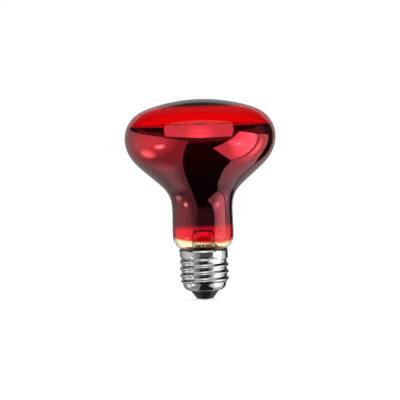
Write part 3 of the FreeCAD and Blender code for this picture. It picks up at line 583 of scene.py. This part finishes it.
def cement_rise(angle):
    """How much higher the bead of cement stands at an angle: it is raised at the back."""
    back = math.sin(angle + CEMENT_BACK_TURN) - CEMENT_BACK_START
    return CEMENT_BACK * eased(back / CEMENT_BACK_REACH)


def basing_cement():
    """The cement between shell and neck, with an uneven bead above the rim."""
    bead_up = SHELL_RIM + CEMENT_BEAD
    columns = 240
    root = ROOT_RADIUS - SHELL_WALL - CEMENT_GAP
    collar = COLLAR_RADIUS - SHELL_WALL - RIM_LEAN - CEMENT_GAP
    step_up = COLLAR_FOOT + CEMENT_GAP
    inside = bulb_between(-CEMENT_GAP, 0.3, CEMENT_FOOT, bead_up)[::-1]
    outside = [
        (COLLAR_RADIUS - RIM_LEAN, SHELL_RIM + CEMENT_GAP),
        (collar, SHELL_RIM),
        (collar, step_up + CEMENT_STEP),
        (root, step_up),
        (root, CEMENT_FOOT),
    ]
    face = filled([inside[-1], outside[0]], 0.12)[1:-1]
    rings = []
    for radius, height in inside + face + outside:
        points = ring(radius, height, columns)
        if height > SHELL_RIM:
            points = [cement_surface(point, bead_up) for point in points]
        rings.append(points)
    return skin("cement_bead", rings, closed=True, sharp=60)


def cement_surface(point, bead_up):
    """A point of the bead, raised with the bead and roughened."""
    share = (point.z - SHELL_RIM) / (bead_up - SHELL_RIM)
    angle = math.atan2(point.y, point.x)
    rise = cement_rise(angle) * share
    grain = sum(ripple(point, size) * height for size, height in CEMENT_LUMPS)
    outward = Vector((math.cos(angle), math.sin(angle), 0))
    lift = rise + grain * share
    spread = neck_radius(point.z + rise) - neck_radius(point.z)
    return point + outward * spread * share + Vector((0, 0, lift))


def neck_radius(height):
    """The bulb's outer radius on its shoulder."""
    drop = SHOULDER_HEIGHT - height
    return NECK_RADIUS - SHOULDER_RADIUS + math.sqrt(SHOULDER_RADIUS**2 - drop**2)


def rim_solder():
    """The drop that joins the lead to the rim: it hangs over the edge and thins out below."""
    columns, rows = 40, 28
    side = math.radians(SOLDER_SIDE)
    outward = Vector((math.cos(side), math.sin(side), 0))
    along = Vector((-outward.y, outward.x, 0))
    top, foot = SHELL_RIM + SOLDER_RISE, SHELL_RIM - SOLDER_HANG
    head = COLLAR_RADIUS - RIM_LEAN - SOLDER_HEAD
    rings = [[outward * head + Vector((0, 0, top))]]
    for row in range(1, rows):
        height = top + (foot - top) * row / rows
        bulge = math.sqrt(math.sin(math.pi * (row / rows) ** SOLDER_TAPER))
        off = (height - SHELL_RIM + SOLDER_LUMP_DROP) / SOLDER_LUMP_REACH
        out = SOLDER_SKIN + SOLDER_LUMP * math.exp(-(off**2))
        width = SOLDER_WIDTH / 2 * bulge
        inward = SOLDER_GRIP if height > SHELL_RIM else SOLDER_SKIN
        points = []
        for column in range(columns):
            turn = math.tau * column / columns
            reach = (out if math.cos(turn) > 0 else inward) * bulge * math.cos(turn)
            sweep = width * math.sin(turn)
            radius = COLLAR_RADIUS - RIM_LEAN * eased((height - SHELL_RIM) / RIM_LEAN_HEIGHT + 1)
            curve = radius - sweep**2 / 2 / radius
            point = outward * (curve + reach) + along * sweep + Vector((0, 0, height))
            points.append(point + outward * ripple(point, SOLDER_RIPPLE) * SOLDER_UNEVEN)
        rings.append(points)
    rings.append([outward * COLLAR_RADIUS + Vector((0, 0, foot))])
    return skin("rim_solder_drop", rings, sharp=80)


def cap_insulator():
    """Black glass that fills the shell's mouth and tapers to the centre contact."""
    bowl_foot = BOWL_TOP - BOWL_RADIUS
    bowl_across = BOWL_SIDE - BOWL_RADIUS
    slope = math.radians(INSULATOR_SLOPE)
    corner_up = INSULATOR_FOOT + INSULATOR_CORNER
    side_up = bowl_foot - INSULATOR_LIP
    fall = (side_up - corner_up + INSULATOR_CORNER * math.sin(slope)) * math.tan(slope)
    corner_across = INSULATOR_RADIUS - fall - INSULATOR_CORNER * math.cos(slope)
    profile = [
        (EYELET_RADIUS, EYELET_TOP),
        (FUNNEL_RADIUS, FUNNEL_FOOT),
        (BOWL_SIDE - SHELL_WALL - INSULATOR_EDGE, BOWL_TOP),
    ]
    profile += arc((bowl_across, BOWL_TOP), BOWL_RADIUS - SHELL_WALL, 0, -90, 0.4)
    profile += [
        (MOUTH_RADIUS, bowl_foot + SHELL_WALL),
        (MOUTH_RADIUS, bowl_foot),
        (INSULATOR_RADIUS - INSULATOR_BEVEL, bowl_foot),
        (INSULATOR_RADIUS, bowl_foot - INSULATOR_BEVEL),
        (INSULATOR_RADIUS, side_up),
    ]
    corner = (corner_across, corner_up)
    profile += arc(corner, INSULATOR_CORNER, -INSULATOR_SLOPE, -90, 0.12)
    profile += [
        (CONTACT_RADIUS, INSULATOR_FOOT),
        (CONTACT_RADIUS, CONTACT_TOP),
        (EYELET_RADIUS, CONTACT_TOP),
    ]
    return spun("moulded_insulator", profile, closed=True, sharp=30)


def tip_solder():
    """The solder drop on the eyelet, a little uneven round its flat."""
    columns = 72
    profile = filled([(0, 0), (TIP_FLAT, 0), (TIP_RADIUS, CONTACT_FOOT)], 0.15)
    rings = []
    for radius, height in profile:
        points = ring(radius, height, columns)
        for number, point in enumerate(points):
            share = min(radius / TIP_FLAT, 1) * (1 - height / CONTACT_FOOT)
            lift = (0.5 + 0.5 * ripple(point, TIP_RIPPLE)) * TIP_UNEVEN * share
            points[number] = point + Vector((0, 0, lift))
        rings.append(points)
    inside = [(TIP_NECK, CONTACT_FOOT), (TIP_NECK, TIP_TOP), (0, TIP_TOP)]
    rings += [ring(radius, height, columns) for radius, height in inside]
    return skin("tip_solder_drop", rings)


# Materials


class Graph:
    """A node tree that is built by adding nodes together with their inputs."""

    def __init__(self, tree):
        self.tree = tree

    def feed(self, socket, value):
        """Links a node's output to a socket, or sets the socket to a constant."""
        if isinstance(value, bpy.types.NodeSocket):
            self.tree.links.new(value, socket)
        else:
            socket.default_value = value

    def add(self, kind, inputs, **settings):
        """A node with its settings and inputs."""
        node = self.tree.nodes.new(kind)
        for name, value in settings.items():
            setattr(node, name, value)
        for name, value in inputs.items():
            self.feed(node.inputs[name], value)
        return node

    def maths(self, operation, *values):
        """A sum on numbers or on outputs."""
        inputs = dict(enumerate(values))
        return self.add("ShaderNodeMath", inputs, operation=operation).outputs[0]

    def step(self, value, low, high, start=0.0, end=1.0):
        """A smooth change from start to end while the value goes from low to high."""
        inputs = {
            "Value": value,
            "From Min": low,
            "From Max": high,
            "To Min": start,
            "To Max": end,
        }
        node = self.add("ShaderNodeMapRange", inputs, interpolation_type="SMOOTHSTEP")
        return node.outputs["Result"]


class Finish(Graph):
    """A material built round one Principled shader, with places in millimetres."""

    def __init__(self, name):
        self.material = bpy.data.materials.new(name)
        self.material.use_nodes = True
        super().__init__(self.material.node_tree)
        self.shader = self.tree.nodes["Principled BSDF"]
        place = self.tree.nodes.new("ShaderNodeTexCoord").outputs["Object"]
        scaled = self.add("ShaderNodeVectorMath", {0: place, "Scale": 1 / MM}, operation="SCALE")
        self.place = scaled.outputs[0]
        parts = self.add("ShaderNodeSeparateXYZ", {0: self.place})
        self.x, self.y, self.z = parts.outputs

    def set(self, **inputs):
        """Inputs of the shader, with _ for each space in their names."""
        for name, value in inputs.items():
            self.feed(self.shader.inputs[name.replace("_", " ")], value)

    def grain(self, size, detail=3.0, stretch=(1, 1, 1)):
        """Noise from 0 to 1 whose features are about size millimetres."""
        inputs = {0: self.place, 1: tuple(1 / part for part in stretch)}
        place = self.add("ShaderNodeVectorMath", inputs, operation="MULTIPLY").outputs[0]
        inputs = {"Vector": place, "Scale": 1 / size, "Detail": detail}
        return self.add("ShaderNodeTexNoise", inputs).outputs["Fac"]

    def mix(self, share, first, second, mode="MIX"):
        """One colour over another."""
        inputs = {0: share, 6: first, 7: second}
        node = self.add("ShaderNodeMix", inputs, data_type="RGBA", blend_type=mode)
        return node.outputs[2]

    def ramp(self, value, stops):
        """A colour for each value, blended between the stops."""
        low, high = stops[0][0], stops[-1][0]
        inputs = {"Value": value, "From Min": low, "From Max": high}
        spread = self.add("ShaderNodeMapRange", inputs).outputs["Result"]
        node = self.add("ShaderNodeValToRGB", {"Fac": spread})
        elements = node.color_ramp.elements
        elements.remove(elements[0])
        elements[0].position = 0.0
        elements[0].color = stops[0][1]
        for spot, tone in stops[1:]:
            elements.new((spot - low) / (high - low)).color = tone
        return node.outputs["Color"]

    def bump(self, height, depth):
        """Relief of a depth in millimetres."""
        inputs = {"Strength": 1.0, "Distance": depth * MM, "Height": height}
        self.set(Normal=self.add("ShaderNodeBump", inputs).outputs["Normal"])

    def facing(self):
        """0 where the surface faces the eye and 1 at its outline."""
        return self.add("ShaderNodeLayerWeight", {"Blend": 0.5}).outputs["Facing"]


def colour(red, green, blue):
    """A colour that nothing shows through."""
    return (red, green, blue, 1.0)


def grey(level):
    """A colour without a hue."""
    return colour(level, level, level)


def red_glass():
    """Red glass, clear at the foot of the neck and silvered behind the bowl, with painted shade
    on its outline at the crown and the neck, and on the silvered red below the belly.
    """
    finish = Finish("red_glass")
    waves = finish.grain(9.0, 2.0)
    sway = finish.maths("MULTIPLY_ADD", waves, LACQUER_SWAY, -LACQUER_SWAY / 2)
    height = finish.maths("ADD", finish.z, sway)
    silvered = finish.maths(
        "MULTIPLY",
        finish.step(height, MIRROR_FOOT - MIRROR_FADE, MIRROR_FOOT + MIRROR_FADE),
        finish.step(finish.z, MIRROR_TOP, MIRROR_TOP + MIRROR_EDGE, 1.0, 0.0),
    )
    tilt = finish.maths("MULTIPLY_ADD", finish.x, LACQUER_TILT, height)
    lacquer = finish.maths("MULTIPLY_ADD", finish.y, -LACQUER_DIP, tilt)
    clear = finish.ramp(
        lacquer,
        [
            (LACQUER_FOOT - 7.0, colour(1.0, 0.98, 0.84)),
            (LACQUER_FOOT - 4.0, colour(1.0, 0.975, 0.75)),
            (LACQUER_FOOT - 0.8, colour(1.0, 0.96, 0.67)),
            (LACQUER_FOOT - 0.4, colour(0.99, 0.8, 0.48)),
            (LACQUER_FOOT, colour(0.95, 0.4, 0.16)),
            (LACQUER_FOOT + 0.7, colour(0.84, 0.014, 0.03)),
            (LACQUER_FOOT + 2.8, colour(0.76, 0.002, 0.02)),
            (60.0, colour(0.88, 0.004, 0.03)),
            (92.0, colour(0.93, 0.003, 0.02)),
        ],
    )
    # Painted shade: where the glass is seen edge on, its outline is darkened above the crown
    # height and down the neck, fading towards the belly. crown and foot mask it, dark is the
    # painted shade and light is the share of the clear colour that it leaves.
    crown = finish.step(finish.z, CROWN_OUTLINE_SHADE - 1.0, CROWN_OUTLINE_SHADE + 1.0)
    foot = finish.maths(
        "MULTIPLY",
        finish.step(finish.z, *NECK_OUTLINE_SHADE, 0.35, 1.0),
        finish.step(finish.z, MIRROR_FOOT, WIDEST, 1.0, 0.0),
    )
    outline = finish.step(finish.facing(), 0.62, 0.72)
    dark = finish.maths("MULTIPLY", outline, finish.maths("MAXIMUM", foot, crown))
    light = finish.maths("SUBTRACT", 1.0, dark)
    through = finish.mix(1.0, clear, light, "MULTIPLY")
    # The lacquer's red over the mirror, with painted shade darkening it below the belly, most on
    # the flank, down to the neck.
    silvered_red_and_shade = finish.ramp(
        finish.z,
        [
            (38.0, colour(0.26, 0.004, 0.02)),
            (61.0, colour(0.21, 0.004, 0.02)),
            (67.0, colour(0.32, 0.004, 0.022)),
            (71.0, colour(0.46, 0.004, 0.024)),
            (76.0, colour(0.76, 0.004, 0.026)),
            (80.0, colour(0.88, 0.004, 0.028)),
        ],
    )
    finish.set(
        Base_Color=finish.mix(silvered, through, silvered_red_and_shade),
        Metallic=silvered,
        Transmission_Weight=finish.maths("SUBTRACT", 1.0, silvered),
        Coat_Weight=1.0,
        Roughness=finish.step(finish.grain(4.0, 5.0), 0.3, 0.8, 0.02, 0.05),
        IOR=1.15,
        Coat_IOR=1.5,
        Coat_Roughness=0.015,
    )
    finish.bump(finish.grain(22.0, 1.0), 0.15)
    return finish.material


def mirror():
    """Bright evaporated aluminium with faint clouding."""
    finish = Finish("mirror_film")
    cloud = finish.grain(7.0, 4.0)
    finish.set(
        Base_Color=finish.mix(cloud, colour(0.84, 0.84, 0.85), grey(0.9)),
        Metallic=1.0,
        Roughness=finish.step(cloud, 0.3, 0.8, 0.06, 0.14),
    )
    return finish.material


def clear_glass():
    """Clear lamp glass, with painted shade darkening it where it is seen edge on."""
    finish = Finish("clear_glass")
    aside, behind = (finish.maths("POWER", part, 2.0) for part in (finish.x, finish.y))
    across = finish.maths("ADD", aside, behind)
    tube_size = EXHAUST_RADIUS**2
    stem_size = (STEM_RADIUS - STEM_WALL) ** 2
    # Painted shade: away from the axis the glass is darkened towards its outline; dark is the
    # painted shade and tone is what it leaves of the clear colour.
    tube = finish.step(across, tube_size * 0.7, tube_size * 0.9)
    wall = finish.step(across, tube_size * 1.3, stem_size * 0.9)
    outline = finish.step(finish.facing(), 0.35, 0.6)
    dark = finish.maths("MULTIPLY", outline, finish.maths("MAXIMUM", wall, tube))
    tone = finish.maths("MULTIPLY_ADD", dark, -0.97, 1.0)
    tint_and_shade = finish.mix(1.0, colour(0.97, 0.98, 0.96), tone, "MULTIPLY")
    finish.set(
        Base_Color=tint_and_shade,
        Transmission_Weight=1.0,
        IOR=1.2,
        Roughness=finish.step(finish.grain(2.0), 0.4, 0.8, 0.0, 0.03),
    )
    finish.bump(finish.grain(3.0, 2.0), 0.05)
    return finish.material


def drawn_metal(name, light, dark, roughness, size=1.0, depth=0.01):
    """Metal with drawn or cast grain between two tones."""
    finish = Finish(name)
    grain = finish.grain(size, 6.0)
    low, high = roughness
    finish.set(
        Base_Color=finish.mix(grain, light, dark),
        Metallic=1.0,
        Roughness=finish.step(grain, 0.3, 0.7, low, high),
    )
    finish.bump(finish.grain(size / 3, 4.0), depth)
    return finish.material


def nickel_shell():
    """Bright nickel on rolled sheet: fine rolling marks, handling marks and dull spots."""
    finish = Finish("nickel_shell")
    rolled = finish.grain(0.5, 4.0, stretch=(8, 8, 0.6))
    cloud = finish.grain(4.0, 5.0)
    speck = finish.step(finish.grain(0.7, 2.0), 0.68, 0.74)
    bright = finish.mix(cloud, grey(0.84), grey(0.72))
    finish.set(
        Base_Color=finish.mix(speck, bright, colour(0.4, 0.39, 0.37)),
        Metallic=1.0,
        Roughness=finish.step(
            finish.maths("MULTIPLY_ADD", rolled, 0.4, cloud), 0.4, 1.0, 0.03, 0.1
        ),
    )
    finish.bump(finish.maths("MULTIPLY_ADD", cloud, 2.0, rolled), 0.008)
    return finish.material


def lamp_cement():
    """Baked brown-black cement, rough and pitted, with painted shade darkening its low spots."""
    finish = Finish("basing_cement")
    lumps = finish.grain(0.8, 6.0)
    # Low spots in the relief, which painted shade also darkens nearly to black.
    pits_and_shade = finish.step(finish.grain(0.3, 2.0), 0.3, 0.5)
    brown = finish.mix(lumps, colour(0.035, 0.016, 0.009), colour(0.16, 0.06, 0.025))
    finish.set(
        Base_Color=finish.mix(pits_and_shade, colour(0.012, 0.007, 0.005), brown),
        Roughness=finish.step(lumps, 0.3, 0.7, 0.55, 0.9),
    )
    finish.bump(finish.maths("ADD", lumps, pits_and_shade), 0.12)
    return finish.material


def black_glass():
    """Pressed black glass: glossy, with the faint waves of its mould."""
    finish = Finish("black_glass")
    waves = finish.grain(1.6, 4.0)
    finish.set(
        Base_Color=finish.mix(waves, colour(0.008, 0.008, 0.01), colour(0.02, 0.02, 0.024)),
        Roughness=finish.step(waves, 0.3, 0.7, 0.12, 0.3),
    )
    finish.bump(waves, 0.08)
    return finish.material


# Studio


def panel(name, corners, low, high, spots=()):
    """A flat soft light with these corners, and brighter spots where its lamps stand."""
    points = [STUDIO_CENTRE + Vector(corner) * STUDIO_REACH for corner in corners]
    mesh = bpy.data.meshes.new(name)
    mesh.from_pydata(points, [], [list(range(len(points)))])
    light = bpy.data.objects.new(name, mesh)
    bpy.context.scene.collection.objects.link(light)
    finish = Finish(name)
    nodes = finish.tree.nodes
    nodes.remove(finish.shader)
    heights = [point.z / MM for point in points]
    glow = finish.mix(finish.step(finish.z, min(heights), max(heights)), low, high)
    for spot, reach, extra in spots:
        centre = (STUDIO_CENTRE + Vector(spot) * STUDIO_REACH) / MM
        shrink = [MM / STUDIO_REACH / part for part in reach]
        inputs = {0: finish.place, 1: centre}
        off = finish.add("ShaderNodeVectorMath", inputs, operation="SUBTRACT").outputs[0]
        inputs = {0: off, 1: shrink}
        scaled = finish.add("ShaderNodeVectorMath", inputs, operation="MULTIPLY").outputs[0]
        away = finish.add("ShaderNodeVectorMath", {0: scaled}, operation="LENGTH")
        share = finish.step(away.outputs["Value"], 0.0, 1.0, 1.0, 0.0)
        glow = finish.mix(share, glow, extra, "ADD")
    backing = finish.add("ShaderNodeNewGeometry", {}).outputs["Backfacing"]
    front = finish.maths("SUBTRACT", 1.0, backing)
    emission = finish.add("ShaderNodeEmission", {"Color": glow, "Strength": front})
    finish.feed(nodes["Material Output"].inputs["Surface"], emission.outputs[0])
    mesh.materials.append(finish.material)
    inward = (STUDIO_CENTRE - sum(points, Vector()) / len(points)).dot(mesh.polygons[0].normal)
    if inward < 0:
        mesh.flip_normals()
    light.visible_camera = False
    light.visible_transmission = False
    light.visible_shadow = False


def soft_lights():
    """The panels that the bulb and the cap reflect: above, left, right and right rear."""
    panel(
        "top_light",
        [
            (-1.27, -0.94, 0.32),
            (-0.03, -1.05, 0.086),
            (1.13, -1.02, 0.144),
            (1.11, -0.401, 1.495),
            (-1.28, -0.401, 1.495),
        ],
        grey(0.74),
        grey(0.7),
        [((0, -1, 0.2), (0.5, 1.2, 1.2), grey(0.6))],
    )
    panel(
        "left_light",
        [
            (-1, -3.2, -0.29),
            (-1, -2.79, -0.21),
            (-1, -1.29, 0.07),
            (-1, -0.52, 0.2),
            (-1, 3.0, 0.46),
            (-1, 3.0, -4.2),
            (-1, 1.1, -4.02),
            (-1, 0.6, -3.75),
            (-1, -0.1, -3.2),
            (-1, -0.78, -2.65),
            (-1, -1.45, -2.0),
            (-1, -2.2, -1.25),
            (-1, -2.95, -0.6),
        ],
        grey(0.26),
        grey(0.24),
        [
            ((-1, -0.25, -0.1), (1, 1.4, 1.0), grey(0.42)),
            ((-1, 0.8, -2.0), (1, 0.9, 1.3), grey(0.3)),
            ((-1, -0.47, -0.36), (1, 0.26, 0.16), colour(4.8, 4.6, 4.1)),
            ((-1, 0.2, -0.62), (1, 0.42, 0.34), colour(1.3, 1.28, 1.1)),
        ],
    )
    panel(
        "right_light",
        [(1, -0.5, 0.38), (1, -2.6, -1.62), (1, -0.03, -1.76), (1, 0.03, -0.86), (1, 0.1, 0.09)],
        grey(0.6),
        grey(0.6),
        [
            ((1, -0.05, -0.3), (1, 1.1, 1.4), grey(1.3)),
            ((1, -0.7, -0.33), (1, 0.6, 0.3), grey(1.2)),
            ((1, -0.55, -0.36), (1, 0.16, 0.14), grey(2.4)),
        ],
    )
    panel(
        "rear_light",
        [
            (1, 0.14, 0.12),
            (1, 0.69, 0.03),
            (1, 0.72, -0.5),
            (1, 0.98, -0.88),
            (1, 1.5, -1.2),
            (1, 1.62, -1.6),
            (1, 1.15, -3.3),
            (1, 0.8, -3.0),
            (1, 0.03, -1.8),
            (1, 0.07, -0.86),
        ],
        grey(0.5),
        grey(0.48),
        [
            ((1, 0.27, -0.5), (1, 0.18, 0.6), grey(1.1)),
            ((1, 0.4, -1.1), (1, 0.5, 0.6), grey(0.3)),
        ],
    )


def floor():
    """A pale floor that reads as white apart from the lamp's soft shadow."""
    mesh = bpy.data.meshes.new("floor")
    signs = ((-1, -1), (1, -1), (1, 1), (-1, 1))
    corners = [(x * FLOOR_REACH, y * FLOOR_REACH, 0) for x, y in signs]
    mesh.from_pydata(corners, [], [(0, 1, 2, 3)])
    ground = bpy.data.objects.new("floor", mesh)
    bpy.context.scene.collection.objects.link(ground)
    finish = Finish("floor")
    finish.set(
        Base_Color=grey(0.8),
        Roughness=1.0,
        Specular_IOR_Level=0.0,
        Emission_Color=grey(1.0),
    )
    path = finish.add("ShaderNodeLightPath", {}).outputs
    seen = finish.maths("MAXIMUM", path["Is Camera Ray"], path["Is Transmission Ray"])
    finish.set(Emission_Strength=finish.maths("MULTIPLY", seen, FLOOR_GLOW))
    mesh.materials.append(finish.material)
    ground.visible_glossy = False
    ground.visible_shadow = False


def backdrop():
    """White behind the lamp and an even fill, but for reflections a dark studio.

    The dark studio has a pale screen at the back, and some haze in front up to the dome.
    """
    world = bpy.data.worlds.new("studio")
    bpy.context.scene.world = world
    world.use_nodes = True
    sky = Graph(world.node_tree)
    sky.tree.nodes.clear()
    direction = sky.add("ShaderNodeTexCoord", {}).outputs["Generated"]
    aside, behind, up = sky.add("ShaderNodeSeparateXYZ", {0: direction}).outputs

    sideways = sky.maths("ADD", sky.maths("ABSOLUTE", aside), 0.01)
    rearward = sky.maths("DIVIDE", behind, sideways)
    screen = sky.step(rearward, 1.3, 1.9, 0.0, SCREEN)
    screen = sky.maths("MULTIPLY", screen, sky.step(up, 0.34, 0.44, 1.0, 0.12))
    screen = sky.maths("MULTIPLY", screen, sky.step(behind, 0.4, 0.6))
    haze = sky.step(up, -0.3, 0.0, 0.0, HAZE)
    haze = sky.maths("MULTIPLY", haze, sky.step(behind, 0.3, 0.6, 1.0, 0.1))
    haze = sky.maths("MULTIPLY", haze, sky.step(up, 0.32, 0.42, 1.0, 0.1))
    mirrored = sky.maths("ADD", sky.maths("ADD", screen, haze), DARKNESS)

    path = sky.add("ShaderNodeLightPath", {}).outputs
    plain = sky.maths("MAXIMUM", path["Is Camera Ray"], path["Is Transmission Ray"])
    fill = sky.maths("MULTIPLY_ADD", plain, 1.0 - FILL, FILL)
    glossy = sky.maths("MULTIPLY", path["Is Glossy Ray"], sky.maths("SUBTRACT", 1.0, plain))
    direct = sky.maths("MULTIPLY", fill, sky.maths("SUBTRACT", 1.0, glossy))
    level = sky.maths("MULTIPLY_ADD", mirrored, glossy, direct)
    background = sky.add("ShaderNodeBackground", {"Color": grey(1.0), "Strength": level})
    output = sky.add("ShaderNodeOutputWorld", {})
    sky.feed(output.inputs["Surface"], background.outputs[0])


def camera():
    """The photograph's camera: a little above the lamp, with its small roll."""
    pitch, roll = math.radians(CAMERA_PITCH), math.radians(CAMERA_ROLL)
    back = Vector((0, -math.cos(pitch), math.sin(pitch)))
    level_up = back.cross(X_AXIS)
    right = X_AXIS * math.cos(roll) - level_up * math.sin(roll)
    up = back.cross(right)
    lens = bpy.data.cameras.new("camera")
    lens.sensor_width = SENSOR
    lens.lens = SENSOR * CAMERA_DISTANCE / CAMERA_FIELD
    lens.clip_start = 0.05
    lens.clip_end = 20.0
    view = bpy.data.objects.new("camera", lens)
    place = (CAMERA_AIM + back * CAMERA_DISTANCE) * MM
    turn = Matrix((right, up, back)).transposed().to_4x4()
    view.matrix_world = Matrix.Translation(place) @ turn
    bpy.context.scene.collection.objects.link(view)
    bpy.context.scene.camera = view


def build():
    """Every new piece, and a finish for every CAD node that stays."""
    glass = clear_glass()
    solder = drawn_metal(
        "solder", colour(0.5, 0.51, 0.52), colour(0.36, 0.37, 0.38), (0.3, 0.5), 1.2, depth=0.05
    )
    wire = drawn_metal(
        "nickel_wire", colour(0.66, 0.64, 0.6), colour(0.5, 0.48, 0.45), (0.18, 0.3)
    )
    dark_wire = drawn_metal(
        "outer_lead", colour(0.12, 0.1, 0.09), colour(0.06, 0.05, 0.045), (0.35, 0.55)
    )
    molybdenum = drawn_metal(
        "support_wire", colour(0.52, 0.51, 0.5), colour(0.38, 0.37, 0.36), (0.25, 0.4)
    )
    copper = drawn_metal(
        "seal_wire", colour(0.3, 0.1, 0.06), colour(0.16, 0.06, 0.04), (0.3, 0.5)
    )
    tungsten = drawn_metal(
        "tungsten", colour(0.42, 0.42, 0.43), colour(0.24, 0.24, 0.25), (0.3, 0.45), 0.5
    )
    brass = drawn_metal(
        "contact_brass", colour(0.78, 0.6, 0.3), colour(0.6, 0.43, 0.2), (0.16, 0.3), 1.5
    )
    placed(glass_bulb(), "glass_bulb", red_glass())
    placed(mirror_film(), "reflector_coating", mirror())
    placed(coiled_filament(), "filament", tungsten)
    placed(screw_shell(), "screw_shell", nickel_shell())
    placed(basing_cement(), "basing_cement", lamp_cement())
    placed(cap_insulator(), "cap_insulator", black_glass())
    placed(tip_solder(), "tip_solder", solder)
    placed(rim_solder(), "rim_solder", solder)
    placed(glass_stem(), "glass_stem", glass)
    placed(exhaust_tube(), "exhaust_tube", glass)
    kept = {
        "support_rod": glass,
        "filament_support_1": molybdenum,
        "filament_support_2": molybdenum,
        "filament_support_3": molybdenum,
        "inner_lead_left": wire,
        "inner_lead_right": wire,
        "shell_lead": dark_wire,
        "contact_lead": dark_wire,
        "seal_wire_left": copper,
        "seal_wire_right": copper,
        "contact_eyelet": brass,
    }
    for name, material in kept.items():
        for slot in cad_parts[name].material_slots:
            slot.material = material


build()
soft_lights()
floor()
backdrop()
camera()
bpy.context.scene.view_settings.view_transform = "Standard"
